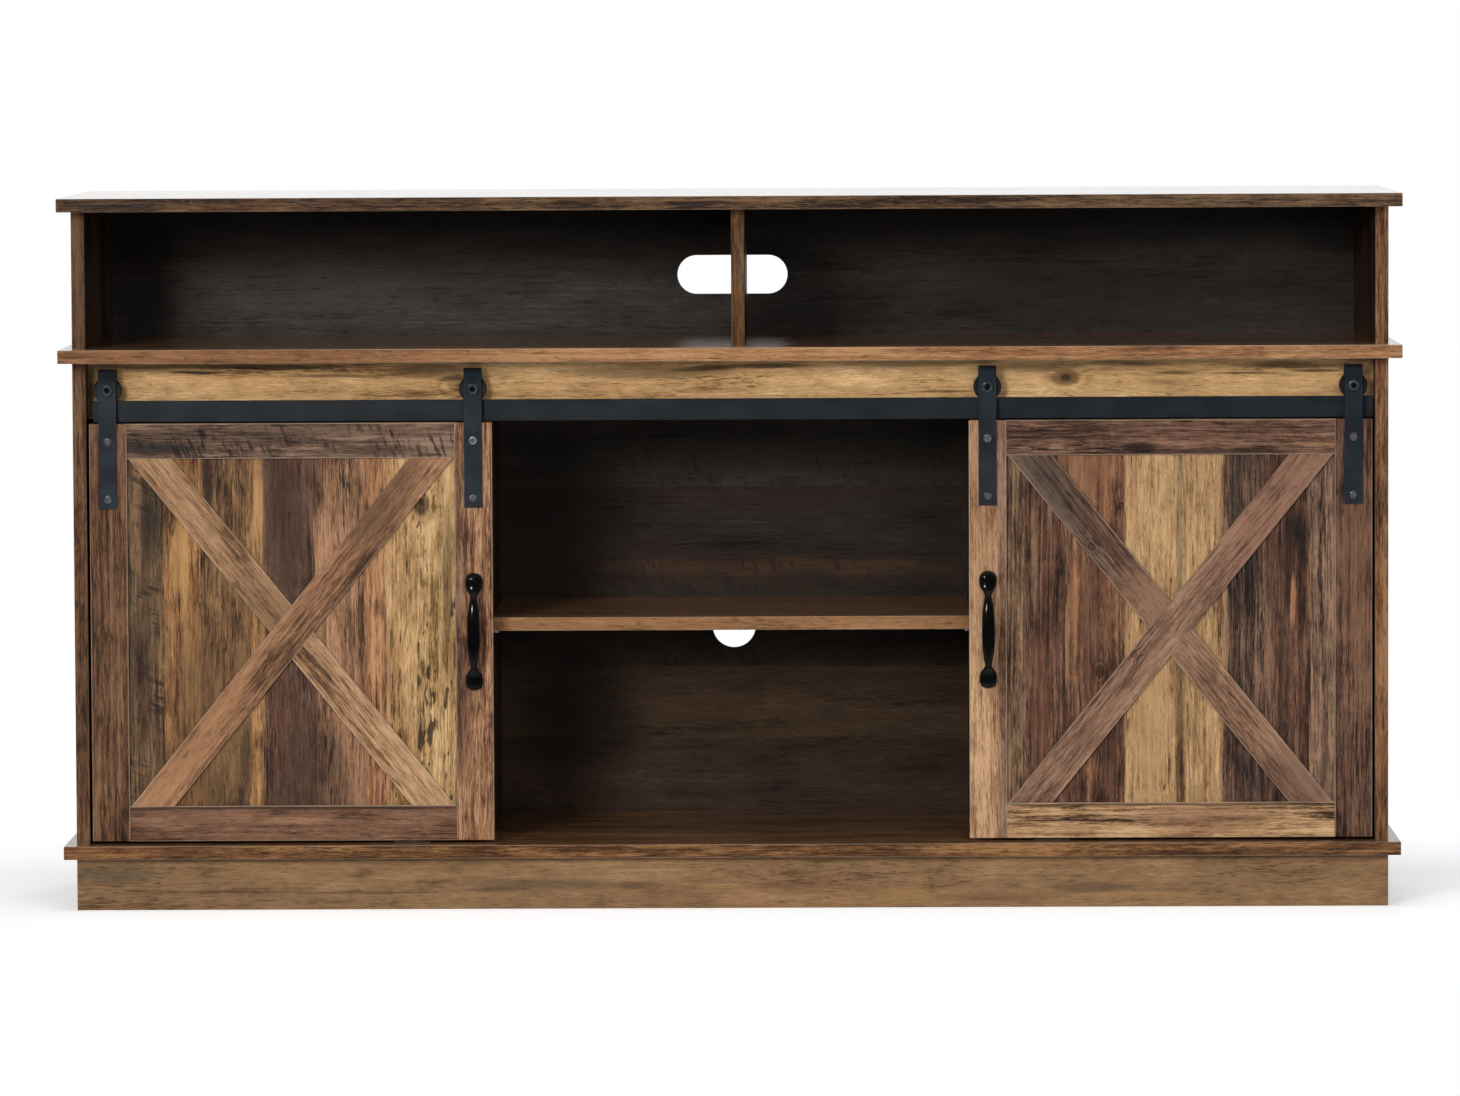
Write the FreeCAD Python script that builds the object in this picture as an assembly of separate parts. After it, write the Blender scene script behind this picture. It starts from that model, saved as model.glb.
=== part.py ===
import FreeCAD, Part
import math
import os

from FreeCAD import Vector

# TV stand with two sliding doors, as flat-pack boards and hardware. Lengths are in millimetres.
# X runs left to right, Y front to back, Z up. The origin is on the floor, at the middle of the
# width and of the depth. Depths named "setback" are measured from the top panel's front edge.

# ---- carcass boards ----
overall_width = 1500.0
overall_depth = 400.0
board = 15.0
back_board = 3.0
edge_ease = 0.5
panel_overhang = 13.0
plinth_height = 59.0
lower_height = 543.0
upper_height = 154.0
side_setback = 38.0
bottom_setback = 18.0
plinth_setback = 38.0
header_setback = 68.0
header_margin = 9.0
centre_opening = 544.0
divider_offset = 9.5
back_joint_gap = 1.0
cable_slot_length = 128.0
cable_slot_height = 45.0
cable_slot_level = 69.0     # centre, above the middle panel
cable_hole_radius = 25.0
cable_hole_level = 217.0    # centre, above the bottom panel

# ---- shelves ----
centre_shelf_level = 236.0  # undersides, above the bottom panel
cabinet_shelf_level = 260.0
shelf_side_gap = 1.0
shelf_front_inset = 2.0
shelf_back_gap = 2.0
pin_radius = 2.5
pin_depth = 8.0
pin_reach = 8.0
pin_inset = 40.0

# ---- fasteners of the carcass ----
fastener_clearance = 0.05
cam_radius = 7.5
cam_depth = 12.0
cam_distance = 24.0
cam_inset = 55.0
cam_bolt_radius = 3.0
cam_bolt_grip = 11.0
cam_bolt_tail = 3.0
cam_slot_length = 9.0
cam_slot_width = 1.6
cam_slot_depth = 1.5
screw_inset = 30.0
screw_radius = 3.0
screw_length = 50.0
screw_head_radius = 5.0
screw_head_depth = 3.0
nail_radius = 0.8
nail_length = 20.0
nail_head_radius = 2.6
nail_head_depth = 0.8
nail_edge = 3.6
nail_end_gap = 25.0
nail_spacing = 180.0

# ---- rail ----
rail_height = 24.0
rail_thickness = 5.0
rail_left_gap = 7.0
rail_right_gap = 1.0
rail_bolt_count = 5
rail_bolt_inset = 40.0
rail_bolt_radius = 3.0
rail_bolt_grip = 4.0
rail_bolt_head_radius = 5.5
rail_bolt_head_height = 4.0
spacer_length = 12.5
spacer_radius = 6.5

# ---- hangers and wheels ----
hanger_width = 20.0
hanger_thickness = 3.0
hanger_bend_radius = 6.0
hanger_below_door_top = 95.5
hanger_head_gap = 8.5
hanger_tail = 10.0
wheel_width = 12.0
wheel_flange_radius = 15.5
wheel_rolling_radius = 12.0
wheel_rail_clearance = 0.2
wheel_groove_clearance = 0.3
wheel_groove_flare = 0.6
wheel_side_gap = 1.0
wheel_top_gap = 5.0
wheel_edge_chamfer = 1.0
axle_radius = 3.0
axle_head_radius = 6.5
axle_head_height = 3.5
axle_nut_width = 10.0
axle_nut_height = 3.0
running_clearance = 0.05
hanger_screw_radius = 2.2
hanger_screw_length = 17.0
hanger_screw_head_radius = 4.75
hanger_screw_head_height = 2.6
hanger_screw_drops = (20.0, 85.0)
socket_share = 0.52
socket_depth_share = 0.55

# ---- doors ----
door_side_gap = 2.5
door_floor_gap = 3.0
door_past_partition = 4.5
door_rail_gap = 1.5
door_panel_thickness = 12.0
trim_thickness = 5.0
stile_width = 42.0
trim_rail_width = 39.5
brace_width = 38.0
brace_corner_gap = 2.0
door_meeting_gap = 2.0

# ---- floor guides ----
groove_width = 4.0
groove_depth = 9.0
guide_base_length = 40.0
guide_base_width = 20.0
guide_base_gap = 1.0
guide_fin_length = 30.0
guide_fin_thickness = 3.0
guide_fin_top_gap = 2.0

# ---- door pulls ----
pull_spacing = 111.5
pull_pad_half_width = 9.4
pull_pad_half_height = 11.3
pull_pad_depth = 12.0
pull_neck_half_width = 4.2
pull_grip_half_width = 7.4
pull_half_thickness = 4.0
pull_projection = 28.0
pull_swell_share = 0.72     # of the half span, the stretch where the bar is thicker than its neck
pull_arch_power = 2.6       # higher is a flatter arch with steeper ends
pull_foot_share = 0.55      # of the pad's depth, where the bar's line starts
pull_screw_radius = 2.0
pull_screw_grip = 7.0
pull_screw_head_radius = 4.0
pull_screw_head_height = 2.0

LEFT, RIGHT = Vector(-1, 0, 0), Vector(1, 0, 0)
FRONT, BACK = Vector(0, -1, 0), Vector(0, 1, 0)
DOWN, UP = Vector(0, 0, -1), Vector(0, 0, 1)


def from_front(distance):
    """Y of a plane that lies a distance behind the top panel's front edge."""
    return distance - overall_depth / 2


# ---- planes that several pieces share ----
side_outer = overall_width / 2 - panel_overhang
side_inner = side_outer - board
partition_inner = centre_opening / 2
partition_outer = partition_inner + board
carcass_rear = overall_depth / 2 - back_board
bottom_underside = plinth_height
bottom_top = bottom_underside + board
mid_underside = bottom_top + lower_height
mid_top = mid_underside + board
top_underside = mid_top + upper_height
overall_height = top_underside + board
side_front = from_front(side_setback)
plinth_front_y = from_front(plinth_setback)
header_front = from_front(header_setback)
header_rear = header_front + board
divider_left = divider_offset - board / 2
divider_right = divider_offset + board / 2
back_lap = (board - back_joint_gap) / 2

rail_rear = header_front - spacer_length
rail_front = rail_rear - rail_thickness
wheel_centre_y = (rail_front + rail_rear) / 2
wheel_front = wheel_centre_y - wheel_width / 2
wheel_rear = wheel_centre_y + wheel_width / 2
hanger_rear_face = wheel_front - wheel_side_gap
hanger_front_face = hanger_rear_face - hanger_thickness
tail_front_face = wheel_rear + wheel_side_gap
tail_rear_face = tail_front_face + hanger_thickness
hanger_top = mid_underside - hanger_head_gap
axle_height = hanger_top - hanger_thickness - wheel_top_gap - wheel_flange_radius
rail_top = axle_height - wheel_rolling_radius
rail_bottom = rail_top - rail_height
rail_middle = (rail_top + rail_bottom) / 2
header_bottom = rail_middle - header_margin

door_front = hanger_rear_face
door_face = door_front + trim_thickness
door_rear = door_face + door_panel_thickness
door_bottom = bottom_top + door_floor_gap
door_top = rail_bottom - door_rail_gap
door_outer = side_inner - door_side_gap
door_inner = partition_inner - door_past_partition
door_travel = door_inner - door_meeting_gap / 2
groove_centre = door_face + door_panel_thickness / 2

holes = {}
nodes = {}


def block(x0, x1, y0, y1, z0, z1):
    """Plain box between two corners."""
    return Part.makeBox(x1 - x0, y1 - y0, z1 - z0, Vector(x0, y0, z0))


def eased(shape):
    """Break every edge of a board."""
    return shape.makeChamfer(edge_ease, shape.Edges)


def eased_block(x0, x1, y0, y1, z0, z1):
    return eased(block(x0, x1, y0, y1, z0, z1))


def rod(radius, start, end):
    """Round bar from one point to another."""
    run = end - start
    return Part.makeCylinder(radius, run.Length, start, run)


def turned(point, direction):
    """Placement that carries +Z onto a direction, at a point."""
    return FreeCAD.Placement(point, FreeCAD.Rotation(UP, direction))


def hexagon(width, height, point, direction):
    """Hexagonal bar of a width across its flats, standing on a point along a direction."""
    reach = width / math.sqrt(3)
    corners = [Vector(reach * math.cos(math.radians(a)), reach * math.sin(math.radians(a)), 0)
               for a in range(0, 420, 60)]
    bar = Part.Face(Part.makePolygon(corners)).extrude(Vector(0, 0, height))
    bar.Placement = turned(point, direction)
    return bar


def socket_head(point, outward, radius, height):
    """Domed screw head on a bearing point, with a hexagon socket."""
    crown = 0.45 * height
    head = Part.makeCylinder(radius, height)
    rim = [edge for edge in head.Edges if edge.Closed and edge.CenterOfMass.z > height / 2]
    head = head.makeFillet(crown, rim)
    socket = socket_depth_share * height
    head = head.cut(hexagon(socket_share * 2 * radius, height, Vector(0, 0, height - socket), UP))
    head.Placement = turned(point, outward)
    return head


def bolt(point, outward, head_radius, head_height, radius, length):
    """Socket-head bolt whose head bears at a point and whose shank runs inwards."""
    head = socket_head(point, outward, head_radius, head_height)
    return head.fuse(rod(radius, point, point - outward * length)).removeSplitter()


def drill(names, radius, start, end):
    """Ask for a round hole in the named boards."""
    for name in names:
        holes.setdefault(name, []).append(rod(radius, start, end))


def finish_node(name, shape):
    """Take the asked holes out of a board and keep it as a node."""
    if name in holes:
        shape = shape.cut(holes.pop(name))
    nodes[name] = shape


def group(name, solids):
    nodes[name] = Part.makeCompound(solids)


# ---- carcass fasteners ----
cams = []
carcass_screws = []
nails = []
pins = []


def add_cam(host, mate, face_point, into, toward):
    """Cam pressed into the host's face; its bolt reaches into the mating board's face.

    face_point lies on the host's face, in line with the mating board's near face."""
    point = face_point - toward * cam_distance
    centre = point + into * (board / 2)
    bolt_start = centre - toward * cam_bolt_tail
    bolt_end = centre + toward * (cam_distance + cam_bolt_grip)
    channel_radius = cam_bolt_radius + fastener_clearance
    drill([host], cam_radius + fastener_clearance, point, point + into * (cam_depth + fastener_clearance))
    drill([host, mate], channel_radius, bolt_start, bolt_end + toward * fastener_clearance)
    cam = rod(cam_radius, point, point + into * cam_depth)
    cam = cam.cut(rod(channel_radius, bolt_start - toward * fastener_clearance, bolt_end))
    slot = Part.makeBox(cam_slot_length, cam_slot_width, 2 * cam_slot_depth)
    slot.translate(Vector(-cam_slot_length / 2, -cam_slot_width / 2, -cam_slot_depth))
    slot.Placement = turned(point, into).multiply(slot.Placement)
    cams.append(cam.cut(slot))
    cams.append(rod(cam_bolt_radius, bolt_start, bolt_end))


def add_screw(outer, inner, point, inward):
    """Flat-headed screw through one board into the edge of the next."""
    head_end = point + inward * screw_head_depth
    tip = point + inward * screw_length
    head = rod(screw_head_radius, point, head_end)
    head = head.cut(hexagon(screw_head_radius, screw_head_depth / 2, point, inward))
    carcass_screws.append(head.fuse(rod(screw_radius, head_end, tip)))
    drill([outer], screw_head_radius + fastener_clearance, point, head_end)
    drill([outer, inner], screw_radius + fastener_clearance, point, tip + inward * fastener_clearance)


def add_nail(panel, carrier, x, z):
    """Flat-headed nail through a back panel into the rear edge of a board."""
    point = Vector(x, overall_depth / 2, z)
    head_end = point + FRONT * nail_head_depth
    tip = point + FRONT * nail_length
    nails.append(rod(nail_head_radius, point, head_end).fuse(rod(nail_radius, head_end, tip)))
    drill([panel], nail_head_radius + fastener_clearance, point, head_end)
    drill([panel, carrier], nail_radius + fastener_clearance, point, tip + FRONT * fastener_clearance)


def spread(low, high, inset, spacing):
    """Evenly spaced places between two ends, no wider apart than the spacing."""
    first, last = low + inset, high - inset
    steps = max(1, math.ceil((last - first) / spacing))
    return [first + (last - first) * i / steps for i in range(steps + 1)]


def add_pins(left_name, right_name, x_left, x_right, y_front, y_rear, shelf_underside):
    """Four shelf pins, two in each of the boards that stand at a shelf's ends."""
    z = shelf_underside - pin_radius
    for name, x, outward in ((left_name, x_left, RIGHT), (right_name, x_right, LEFT)):
        for y in (y_front + pin_inset, y_rear - pin_inset):
            wall = Vector(x, y, z)
            pins.append(rod(pin_radius, wall - outward * pin_depth, wall + outward * pin_reach))
            drill([name], pin_radius + fastener_clearance,
                  wall - outward * (pin_depth + fastener_clearance), wall)


# ---- carcass ----
def join_upright(name, below, above, x_face, into, x_middle, y_front, z0, z1):
    """Screw an upright to the panel below it and cam it to the panel above it."""
    for y in (y_front + cam_inset, carcass_rear - cam_inset):
        add_cam(name, above, Vector(x_face, y, z1), into, UP)
    for y in (y_front + screw_inset, carcass_rear - screw_inset):
        add_screw(below, name, Vector(x_middle, y, z0 - board), UP)


def make_upper_bays():
    """Top panel on two sides and a divider, with one thin back that holds the cable slot."""
    top_front, top_rear = from_front(0), overall_depth / 2
    side_middle = side_outer - board / 2
    join_upright("upper_side_left", "mid_panel", "top_panel", -side_inner, LEFT, -side_middle,
                 side_front, mid_top, top_underside)
    join_upright("upper_side_right", "mid_panel", "top_panel", side_inner, RIGHT, side_middle,
                 side_front, mid_top, top_underside)
    join_upright("upper_divider", "mid_panel", "top_panel", divider_right, LEFT, divider_offset,
                 side_front, mid_top, top_underside)

    back_bottom = mid_top - back_lap
    uprights = (("upper_side_left", -side_middle), ("upper_side_right", side_middle),
                ("upper_divider", divider_offset))
    for carrier, x in uprights:
        for z in (mid_top + nail_end_gap, top_underside - nail_end_gap):
            add_nail("upper_back_panel", carrier, x, z)
    for x in spread(-side_inner, side_inner, nail_end_gap, nail_spacing):
        add_nail("upper_back_panel", "mid_panel", x, back_bottom + nail_edge)
    straight = (cable_slot_length - cable_slot_height) / 2
    slot_radius = cable_slot_height / 2
    slot_centre = mid_top + cable_slot_level
    slot = block(-straight, straight, carcass_rear, top_rear, slot_centre - slot_radius,
                 slot_centre + slot_radius)
    for x in (-straight, straight):
        slot = slot.fuse(rod(slot_radius, Vector(x, carcass_rear, slot_centre),
                             Vector(x, top_rear, slot_centre)))
    holes.setdefault("upper_back_panel", []).append(slot.removeSplitter())

    half = overall_width / 2
    finish_node("top_panel", eased_block(-half, half, top_front, top_rear, top_underside, overall_height))
    finish_node("upper_side_left",
                eased_block(-side_outer, -side_inner, side_front, carcass_rear, mid_top, top_underside))
    finish_node("upper_side_right",
                eased_block(side_inner, side_outer, side_front, carcass_rear, mid_top, top_underside))
    finish_node("upper_divider",
                eased_block(divider_left, divider_right, side_front, carcass_rear, mid_top, top_underside))
    finish_node("upper_back_panel",
                block(-side_outer, side_outer, carcass_rear, top_rear, back_bottom, top_underside))


def make_lower_bays():
    """Middle and bottom panels, outer sides, partitions, header and three thin backs."""
    side_middle = side_outer - board / 2
    partition_middle = partition_inner + board / 2
    join_upright("lower_side_left", "bottom_panel", "mid_panel", -side_inner, LEFT, -side_middle,
                 side_front, bottom_top, mid_underside)
    join_upright("lower_side_right", "bottom_panel", "mid_panel", side_inner, RIGHT, side_middle,
                 side_front, bottom_top, mid_underside)
    join_upright("partition_left", "bottom_panel", "mid_panel", -partition_outer, RIGHT,
                 -partition_middle, header_rear, bottom_top, mid_underside)
    join_upright("partition_right", "bottom_panel", "mid_panel", partition_outer, LEFT,
                 partition_middle, header_rear, bottom_top, mid_underside)

    header_middle = (header_bottom + mid_underside) / 2
    add_cam("header_board", "lower_side_left", Vector(-side_inner, header_rear, header_middle), FRONT, LEFT)
    add_cam("header_board", "lower_side_right", Vector(side_inner, header_rear, header_middle), FRONT, RIGHT)
    for x in (-partition_inner / 2, partition_inner / 2):
        add_cam("header_board", "mid_panel", Vector(x, header_rear, mid_underside), FRONT, UP)

    make_lower_backs(side_middle, partition_middle)
    half = overall_width / 2
    finish_node("mid_panel",
                eased_block(-half, half, from_front(0), carcass_rear, mid_underside, mid_top))
    finish_node("bottom_panel",
                eased_block(-half, half, from_front(bottom_setback), carcass_rear,
                            bottom_underside, bottom_top))
    for side, sign in (("left", -1), ("right", 1)):
        outer_x = sorted((sign * side_inner, sign * side_outer))
        inner_x = sorted((sign * partition_inner, sign * partition_outer))
        finish_node("lower_side_" + side,
                    eased_block(*outer_x, side_front, carcass_rear, bottom_top, mid_underside))
        finish_node("partition_" + side,
                    eased_block(*inner_x, header_rear, carcass_rear, bottom_top, mid_underside))
    finish_node("header_board",
                eased_block(-side_inner, side_inner, header_front, header_rear,
                            header_bottom, mid_underside))


def make_lower_backs(side_middle, partition_middle):
    """Three thin backs, nailed to every board edge behind them; the middle one has a cable hole."""
    low, high = bottom_underside, mid_top - back_lap - back_joint_gap
    seam = partition_middle + back_joint_gap / 2
    edge = nail_edge + back_joint_gap / 2
    spans = (("back_panel_left", -side_outer, -seam, "lower_side_left", -side_middle,
              "partition_left", -partition_middle - edge),
             ("back_panel_centre", -seam + back_joint_gap, seam - back_joint_gap,
              "partition_left", -partition_middle + edge, "partition_right", partition_middle - edge),
             ("back_panel_right", seam, side_outer, "partition_right", partition_middle + edge,
              "lower_side_right", side_middle))
    for name, x0, x1, left_carrier, left_x, right_carrier, right_x in spans:
        for z in spread(bottom_top, mid_underside, nail_end_gap, nail_spacing):
            add_nail(name, left_carrier, left_x, z)
            add_nail(name, right_carrier, right_x, z)
        for x in spread(x0, x1, 2 * nail_end_gap, nail_spacing):
            add_nail(name, "bottom_panel", x, bottom_underside + board / 2)
            add_nail(name, "mid_panel", x, high - nail_edge)
        if name == "back_panel_centre":
            z = bottom_top + cable_hole_level
            drill([name], cable_hole_radius, Vector(0, carcass_rear, z), Vector(0, overall_depth / 2, z))
        finish_node(name, block(x0, x1, carcass_rear, overall_depth / 2, low, high))


def make_plinth():
    """Plinth frame of four boards and a centre board, cammed up into the bottom panel."""
    front_rear = plinth_front_y + board
    rear_front = carcass_rear - board
    wide = side_inner - cam_inset
    along = (-wide, -0.4 * wide, 0.4 * wide, wide)
    across = (front_rear + 2 * cam_inset, rear_front - 2 * cam_inset)
    low_corner = plinth_height / 2
    for x in along:
        add_cam("plinth_front", "bottom_panel", Vector(x, front_rear, plinth_height), FRONT, UP)
        add_cam("plinth_rear", "bottom_panel", Vector(x, rear_front, plinth_height), BACK, UP)
    for name, x, into, outward in (("plinth_left", -side_inner, LEFT, LEFT),
                                   ("plinth_right", side_inner, RIGHT, RIGHT),
                                   ("plinth_centre", board / 2, LEFT, None)):
        for y in across:
            add_cam(name, "bottom_panel", Vector(x, y, plinth_height), into, UP)
        add_cam(name, "plinth_front", Vector(x, front_rear, low_corner), into, FRONT)
        if outward:
            add_cam("plinth_rear", name, Vector(x, rear_front, low_corner), BACK, outward)
        else:
            add_cam(name, "plinth_rear", Vector(x, rear_front, low_corner), into, BACK)
    finish_node("plinth_front", eased_block(-side_outer, side_outer, plinth_front_y, front_rear,
                                            0, plinth_height))
    finish_node("plinth_rear", eased_block(-side_inner, side_inner, rear_front, carcass_rear,
                                           0, plinth_height))
    finish_node("plinth_left", eased_block(-side_outer, -side_inner, front_rear, carcass_rear,
                                           0, plinth_height))
    finish_node("plinth_right", eased_block(side_inner, side_outer, front_rear, carcass_rear,
                                            0, plinth_height))
    finish_node("plinth_centre", eased_block(-board / 2, board / 2, front_rear, rear_front,
                                             0, plinth_height))


def make_shelves():
    """A shelf in each lower bay, on four pins."""
    shelf_front = header_rear + shelf_front_inset
    shelf_rear = carcass_rear - shelf_back_gap
    bays = (("centre_shelf", "partition_left", "partition_right",
             -partition_inner, partition_inner, centre_shelf_level),
            ("cabinet_shelf_left", "lower_side_left", "partition_left",
             -side_inner, -partition_outer, cabinet_shelf_level),
            ("cabinet_shelf_right", "partition_right", "lower_side_right",
             partition_outer, side_inner, cabinet_shelf_level))
    for name, left_name, right_name, x0, x1, height in bays:
        underside = bottom_top + height
        add_pins(left_name, right_name, x0, x1, shelf_front, shelf_rear, underside)
        finish_node(name, eased_block(x0 + shelf_side_gap, x1 - shelf_side_gap,
                                      shelf_front, shelf_rear, underside, underside + board))


def make_rail():
    """Flat rail on spacer tubes, bolted through the header from behind."""
    rail_left = -side_inner + rail_left_gap
    rail_right = side_inner - rail_right_gap
    first = rail_left + rail_bolt_inset
    step = (rail_right - rail_bolt_inset - first) / (rail_bolt_count - 1)
    spacers, bolts = [], []
    for i in range(rail_bolt_count):
        centre = Vector(first + step * i, 0, rail_middle)
        header_seat = centre + BACK * (header_rear - rail_bolt_head_height)
        tip = centre + BACK * (rail_rear - rail_bolt_grip)
        tube = rod(spacer_radius, centre + BACK * rail_rear, centre + BACK * header_front)
        spacers.append(tube.cut(rod(rail_bolt_radius + fastener_clearance,
                                    centre + BACK * rail_rear, centre + BACK * header_front)))
        bolts.append(bolt(header_seat, BACK, rail_bolt_head_radius, rail_bolt_head_height,
                          rail_bolt_radius, header_seat.y - tip.y))
        drill(["header_board"], rail_bolt_head_radius + fastener_clearance,
              header_seat, centre + BACK * header_rear)
        drill(["header_board", "rail"], rail_bolt_radius + fastener_clearance,
              tip + FRONT * fastener_clearance, header_seat)
    finish_node("rail", eased_block(rail_left, rail_right, rail_front, rail_rear, rail_bottom, rail_top))
    group("rail_spacers", spacers)
    group("rail_bolts", bolts)


def make_floor_guides():
    """Guide under each door: a plate on the bottom panel with a fin in the door's groove."""
    guides = []
    plate_top = door_bottom - guide_base_gap
    fin_top = door_bottom + groove_depth - guide_fin_top_gap
    middle = (door_inner + door_outer - door_travel) / 2
    for x in (-middle, middle):
        plate = block(x - guide_base_length / 2, x + guide_base_length / 2,
                      groove_centre - guide_base_width / 2, groove_centre + guide_base_width / 2,
                      bottom_top, plate_top)
        fin = block(x - guide_fin_length / 2, x + guide_fin_length / 2,
                    groove_centre - guide_fin_thickness / 2, groove_centre + guide_fin_thickness / 2,
                    bottom_top, fin_top)
        guides.append(plate.fuse(fin).removeSplitter())
    group("floor_guides", guides)


# ---- doors ----
def prism(corners, y_front, thickness):
    """Flat board of any outline in X and Z."""
    points = [Vector(x, y_front, z) for x, z in corners]
    return Part.Face(Part.makePolygon(points + points[:1])).extrude(BACK * thickness)


def make_braces(prefix, x0, x1, z0, z1):
    """One brace from corner to corner, and the crossing brace in two pieces butted against it."""
    x0, x1 = x0 + brace_corner_gap, x1 - brace_corner_gap
    length, height = x1 - x0, z1 - z0
    diagonal = math.sqrt(length ** 2 + height ** 2 - brace_width ** 2)
    cut = brace_width * (height * diagonal - brace_width * length) / (height ** 2 - brace_width ** 2)
    rising = prism([(x0, z0), (x0 + cut, z0), (x1, z1), (x1 - cut, z1)], door_front, trim_thickness)
    falling = prism([(x0, z1), (x0 + cut, z1), (x1, z0), (x1 - cut, z0)], door_front, trim_thickness)
    lower, upper = sorted(falling.cut(rising).Solids, key=lambda piece: piece.CenterOfMass.z)
    finish_node(prefix + "brace_long", eased(rising))
    finish_node(prefix + "brace_upper", eased(upper))
    finish_node(prefix + "brace_lower", eased(lower))


def make_hanger(x):
    """Strap that runs up the door, over the wheel and down behind it."""
    x0, x1 = x - hanger_width / 2, x + hanger_width / 2
    tail_end = axle_height - hanger_tail
    outer = block(x0, x1, hanger_front_face, tail_rear_face, tail_end, hanger_top)
    inner = block(x0, x1, hanger_rear_face, tail_front_face, tail_end, hanger_top - hanger_thickness)
    bends = []
    for hook, radius in ((outer, hanger_bend_radius), (inner, hanger_bend_radius - hanger_thickness)):
        top = hook.BoundBox.ZMax
        edges = [e for e in hook.Edges if e.CenterOfMass.z > top - 0.1 and e.Length > hanger_width - 0.1
                 and abs(e.Vertexes[0].X - e.Vertexes[-1].X) > 1]
        bends.append(hook.makeFillet(radius, edges))
    leg = block(x0, x1, hanger_front_face, hanger_rear_face, door_top - hanger_below_door_top, tail_end)
    strap = bends[0].cut(bends[1]).fuse(leg).removeSplitter()
    axle_hole = rod(axle_radius + running_clearance, Vector(x, hanger_front_face, axle_height),
                    Vector(x, tail_rear_face, axle_height))
    return strap.cut(axle_hole)


def make_wheel(x):
    """Grooved wheel that runs on the rail's top edge, turned about its axle."""
    root = wheel_rolling_radius - wheel_rail_clearance
    half_root = rail_thickness / 2 + wheel_groove_clearance
    half_rim = half_root + wheel_groove_flare
    half = wheel_width / 2
    bore = axle_radius + running_clearance
    face_edge = wheel_flange_radius - wheel_edge_chamfer
    rim_edge = half - wheel_edge_chamfer
    profile = [(bore, -half), (face_edge, -half), (wheel_flange_radius, -rim_edge),
               (wheel_flange_radius, -half_rim), (root, -half_root), (root, half_root),
               (wheel_flange_radius, half_rim), (wheel_flange_radius, rim_edge),
               (face_edge, half), (bore, half)]
    points = [Vector(x + r, wheel_centre_y + y, axle_height) for r, y in profile]
    face = Part.Face(Part.makePolygon(points + points[:1]))
    return face.revolve(Vector(x, wheel_centre_y, axle_height), BACK, 360)


def make_axle(x):
    """Axle bolt and its nut."""
    seat = Vector(x, hanger_front_face, axle_height)
    nut_seat = Vector(x, tail_rear_face, axle_height)
    nut_end = nut_seat + BACK * axle_nut_height
    nut = hexagon(axle_nut_width, axle_nut_height, nut_seat, BACK)
    nut = nut.cut(rod(axle_radius + fastener_clearance, nut_seat, nut_end))
    return [bolt(seat, FRONT, axle_head_radius, axle_head_height, axle_radius, (nut_end - seat).Length),
            nut]


def add_hanger_screws(prefix, stile, x, screws, straps):
    """Two screws that hold a strap to the door; returns the strap with their holes."""
    strap = straps
    for drop in hanger_screw_drops:
        seat = Vector(x, hanger_front_face, door_top - drop)
        tip = seat + BACK * hanger_screw_length
        screws.append(bolt(seat, FRONT, hanger_screw_head_radius, hanger_screw_head_height,
                           hanger_screw_radius, hanger_screw_length))
        hole = hanger_screw_radius + fastener_clearance
        strap = strap.cut(rod(hole, seat, seat + BACK * hanger_thickness))
        drill([stile, prefix + "panel"], hole, seat, tip + BACK * fastener_clearance)
    return strap


def pull_section(z, out, half_width, half_thickness, lean):
    """Elliptical section of the pull's bar, leaning along the bar's line."""
    ellipse = Part.Ellipse(Vector(0, 0, 0), half_width, half_thickness)
    wire = Part.Wire([ellipse.toShape()])
    wire.rotate(Vector(0, 0, 0), RIGHT, lean)
    wire.translate(Vector(0, -out, z))
    return wire


def make_pull(x, z):
    """Bow pull: two domed pads joined by an arched bar that swells at its middle."""
    half_span = pull_spacing / 2
    crest = pull_projection - pull_half_thickness
    foot = pull_pad_depth * pull_foot_share
    sections = []
    for place in (-1, -0.84, -0.66, -0.36, 0, 0.36, 0.66, 0.84, 1):
        out = crest - (crest - foot) * abs(place) ** pull_arch_power
        slope = pull_arch_power * (crest - foot) / half_span * abs(place) ** (pull_arch_power - 1)
        swell = max(0.0, 1 - (place / pull_swell_share) ** 2)
        width = pull_neck_half_width + (pull_grip_half_width - pull_neck_half_width) * swell
        lean = -math.copysign(math.degrees(math.atan(slope)), place)
        sections.append(pull_section(place * half_span, out, width, pull_half_thickness, lean))
    pull = Part.makeLoft(sections, True)
    for end in (-half_span, half_span):
        stretch = FreeCAD.Matrix()
        stretch.scale(pull_pad_half_width, pull_pad_depth, pull_pad_half_height)
        pad = Part.makeSphere(1).transformGeometry(stretch)
        pad.translate(Vector(0, 0, end))
        pull = pull.fuse(pad)
    behind = block(-overall_width, overall_width, 0, overall_depth, -overall_height, overall_height)
    pull = pull.cut(behind).removeSplitter()
    pull.translate(Vector(x, door_front, z))
    return pull


def add_pull(prefix, stile, x, screws):
    """Pull on the inner stile, held by two screws from the door's back."""
    z = (door_bottom + door_top) / 2
    pull = make_pull(x, z)
    for end in (-pull_spacing / 2, pull_spacing / 2):
        seat = Vector(x, door_rear, z + end)
        length = door_rear - door_front + pull_screw_grip
        screws.append(bolt(seat, BACK, pull_screw_head_radius, pull_screw_head_height,
                           pull_screw_radius, length))
        tip = seat + FRONT * (length + fastener_clearance)
        hole = pull_screw_radius + fastener_clearance
        drill([stile, prefix + "panel"], hole, seat, tip)
        pull = pull.cut(rod(hole, seat, tip))
    nodes[prefix + "handle"] = pull


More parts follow.
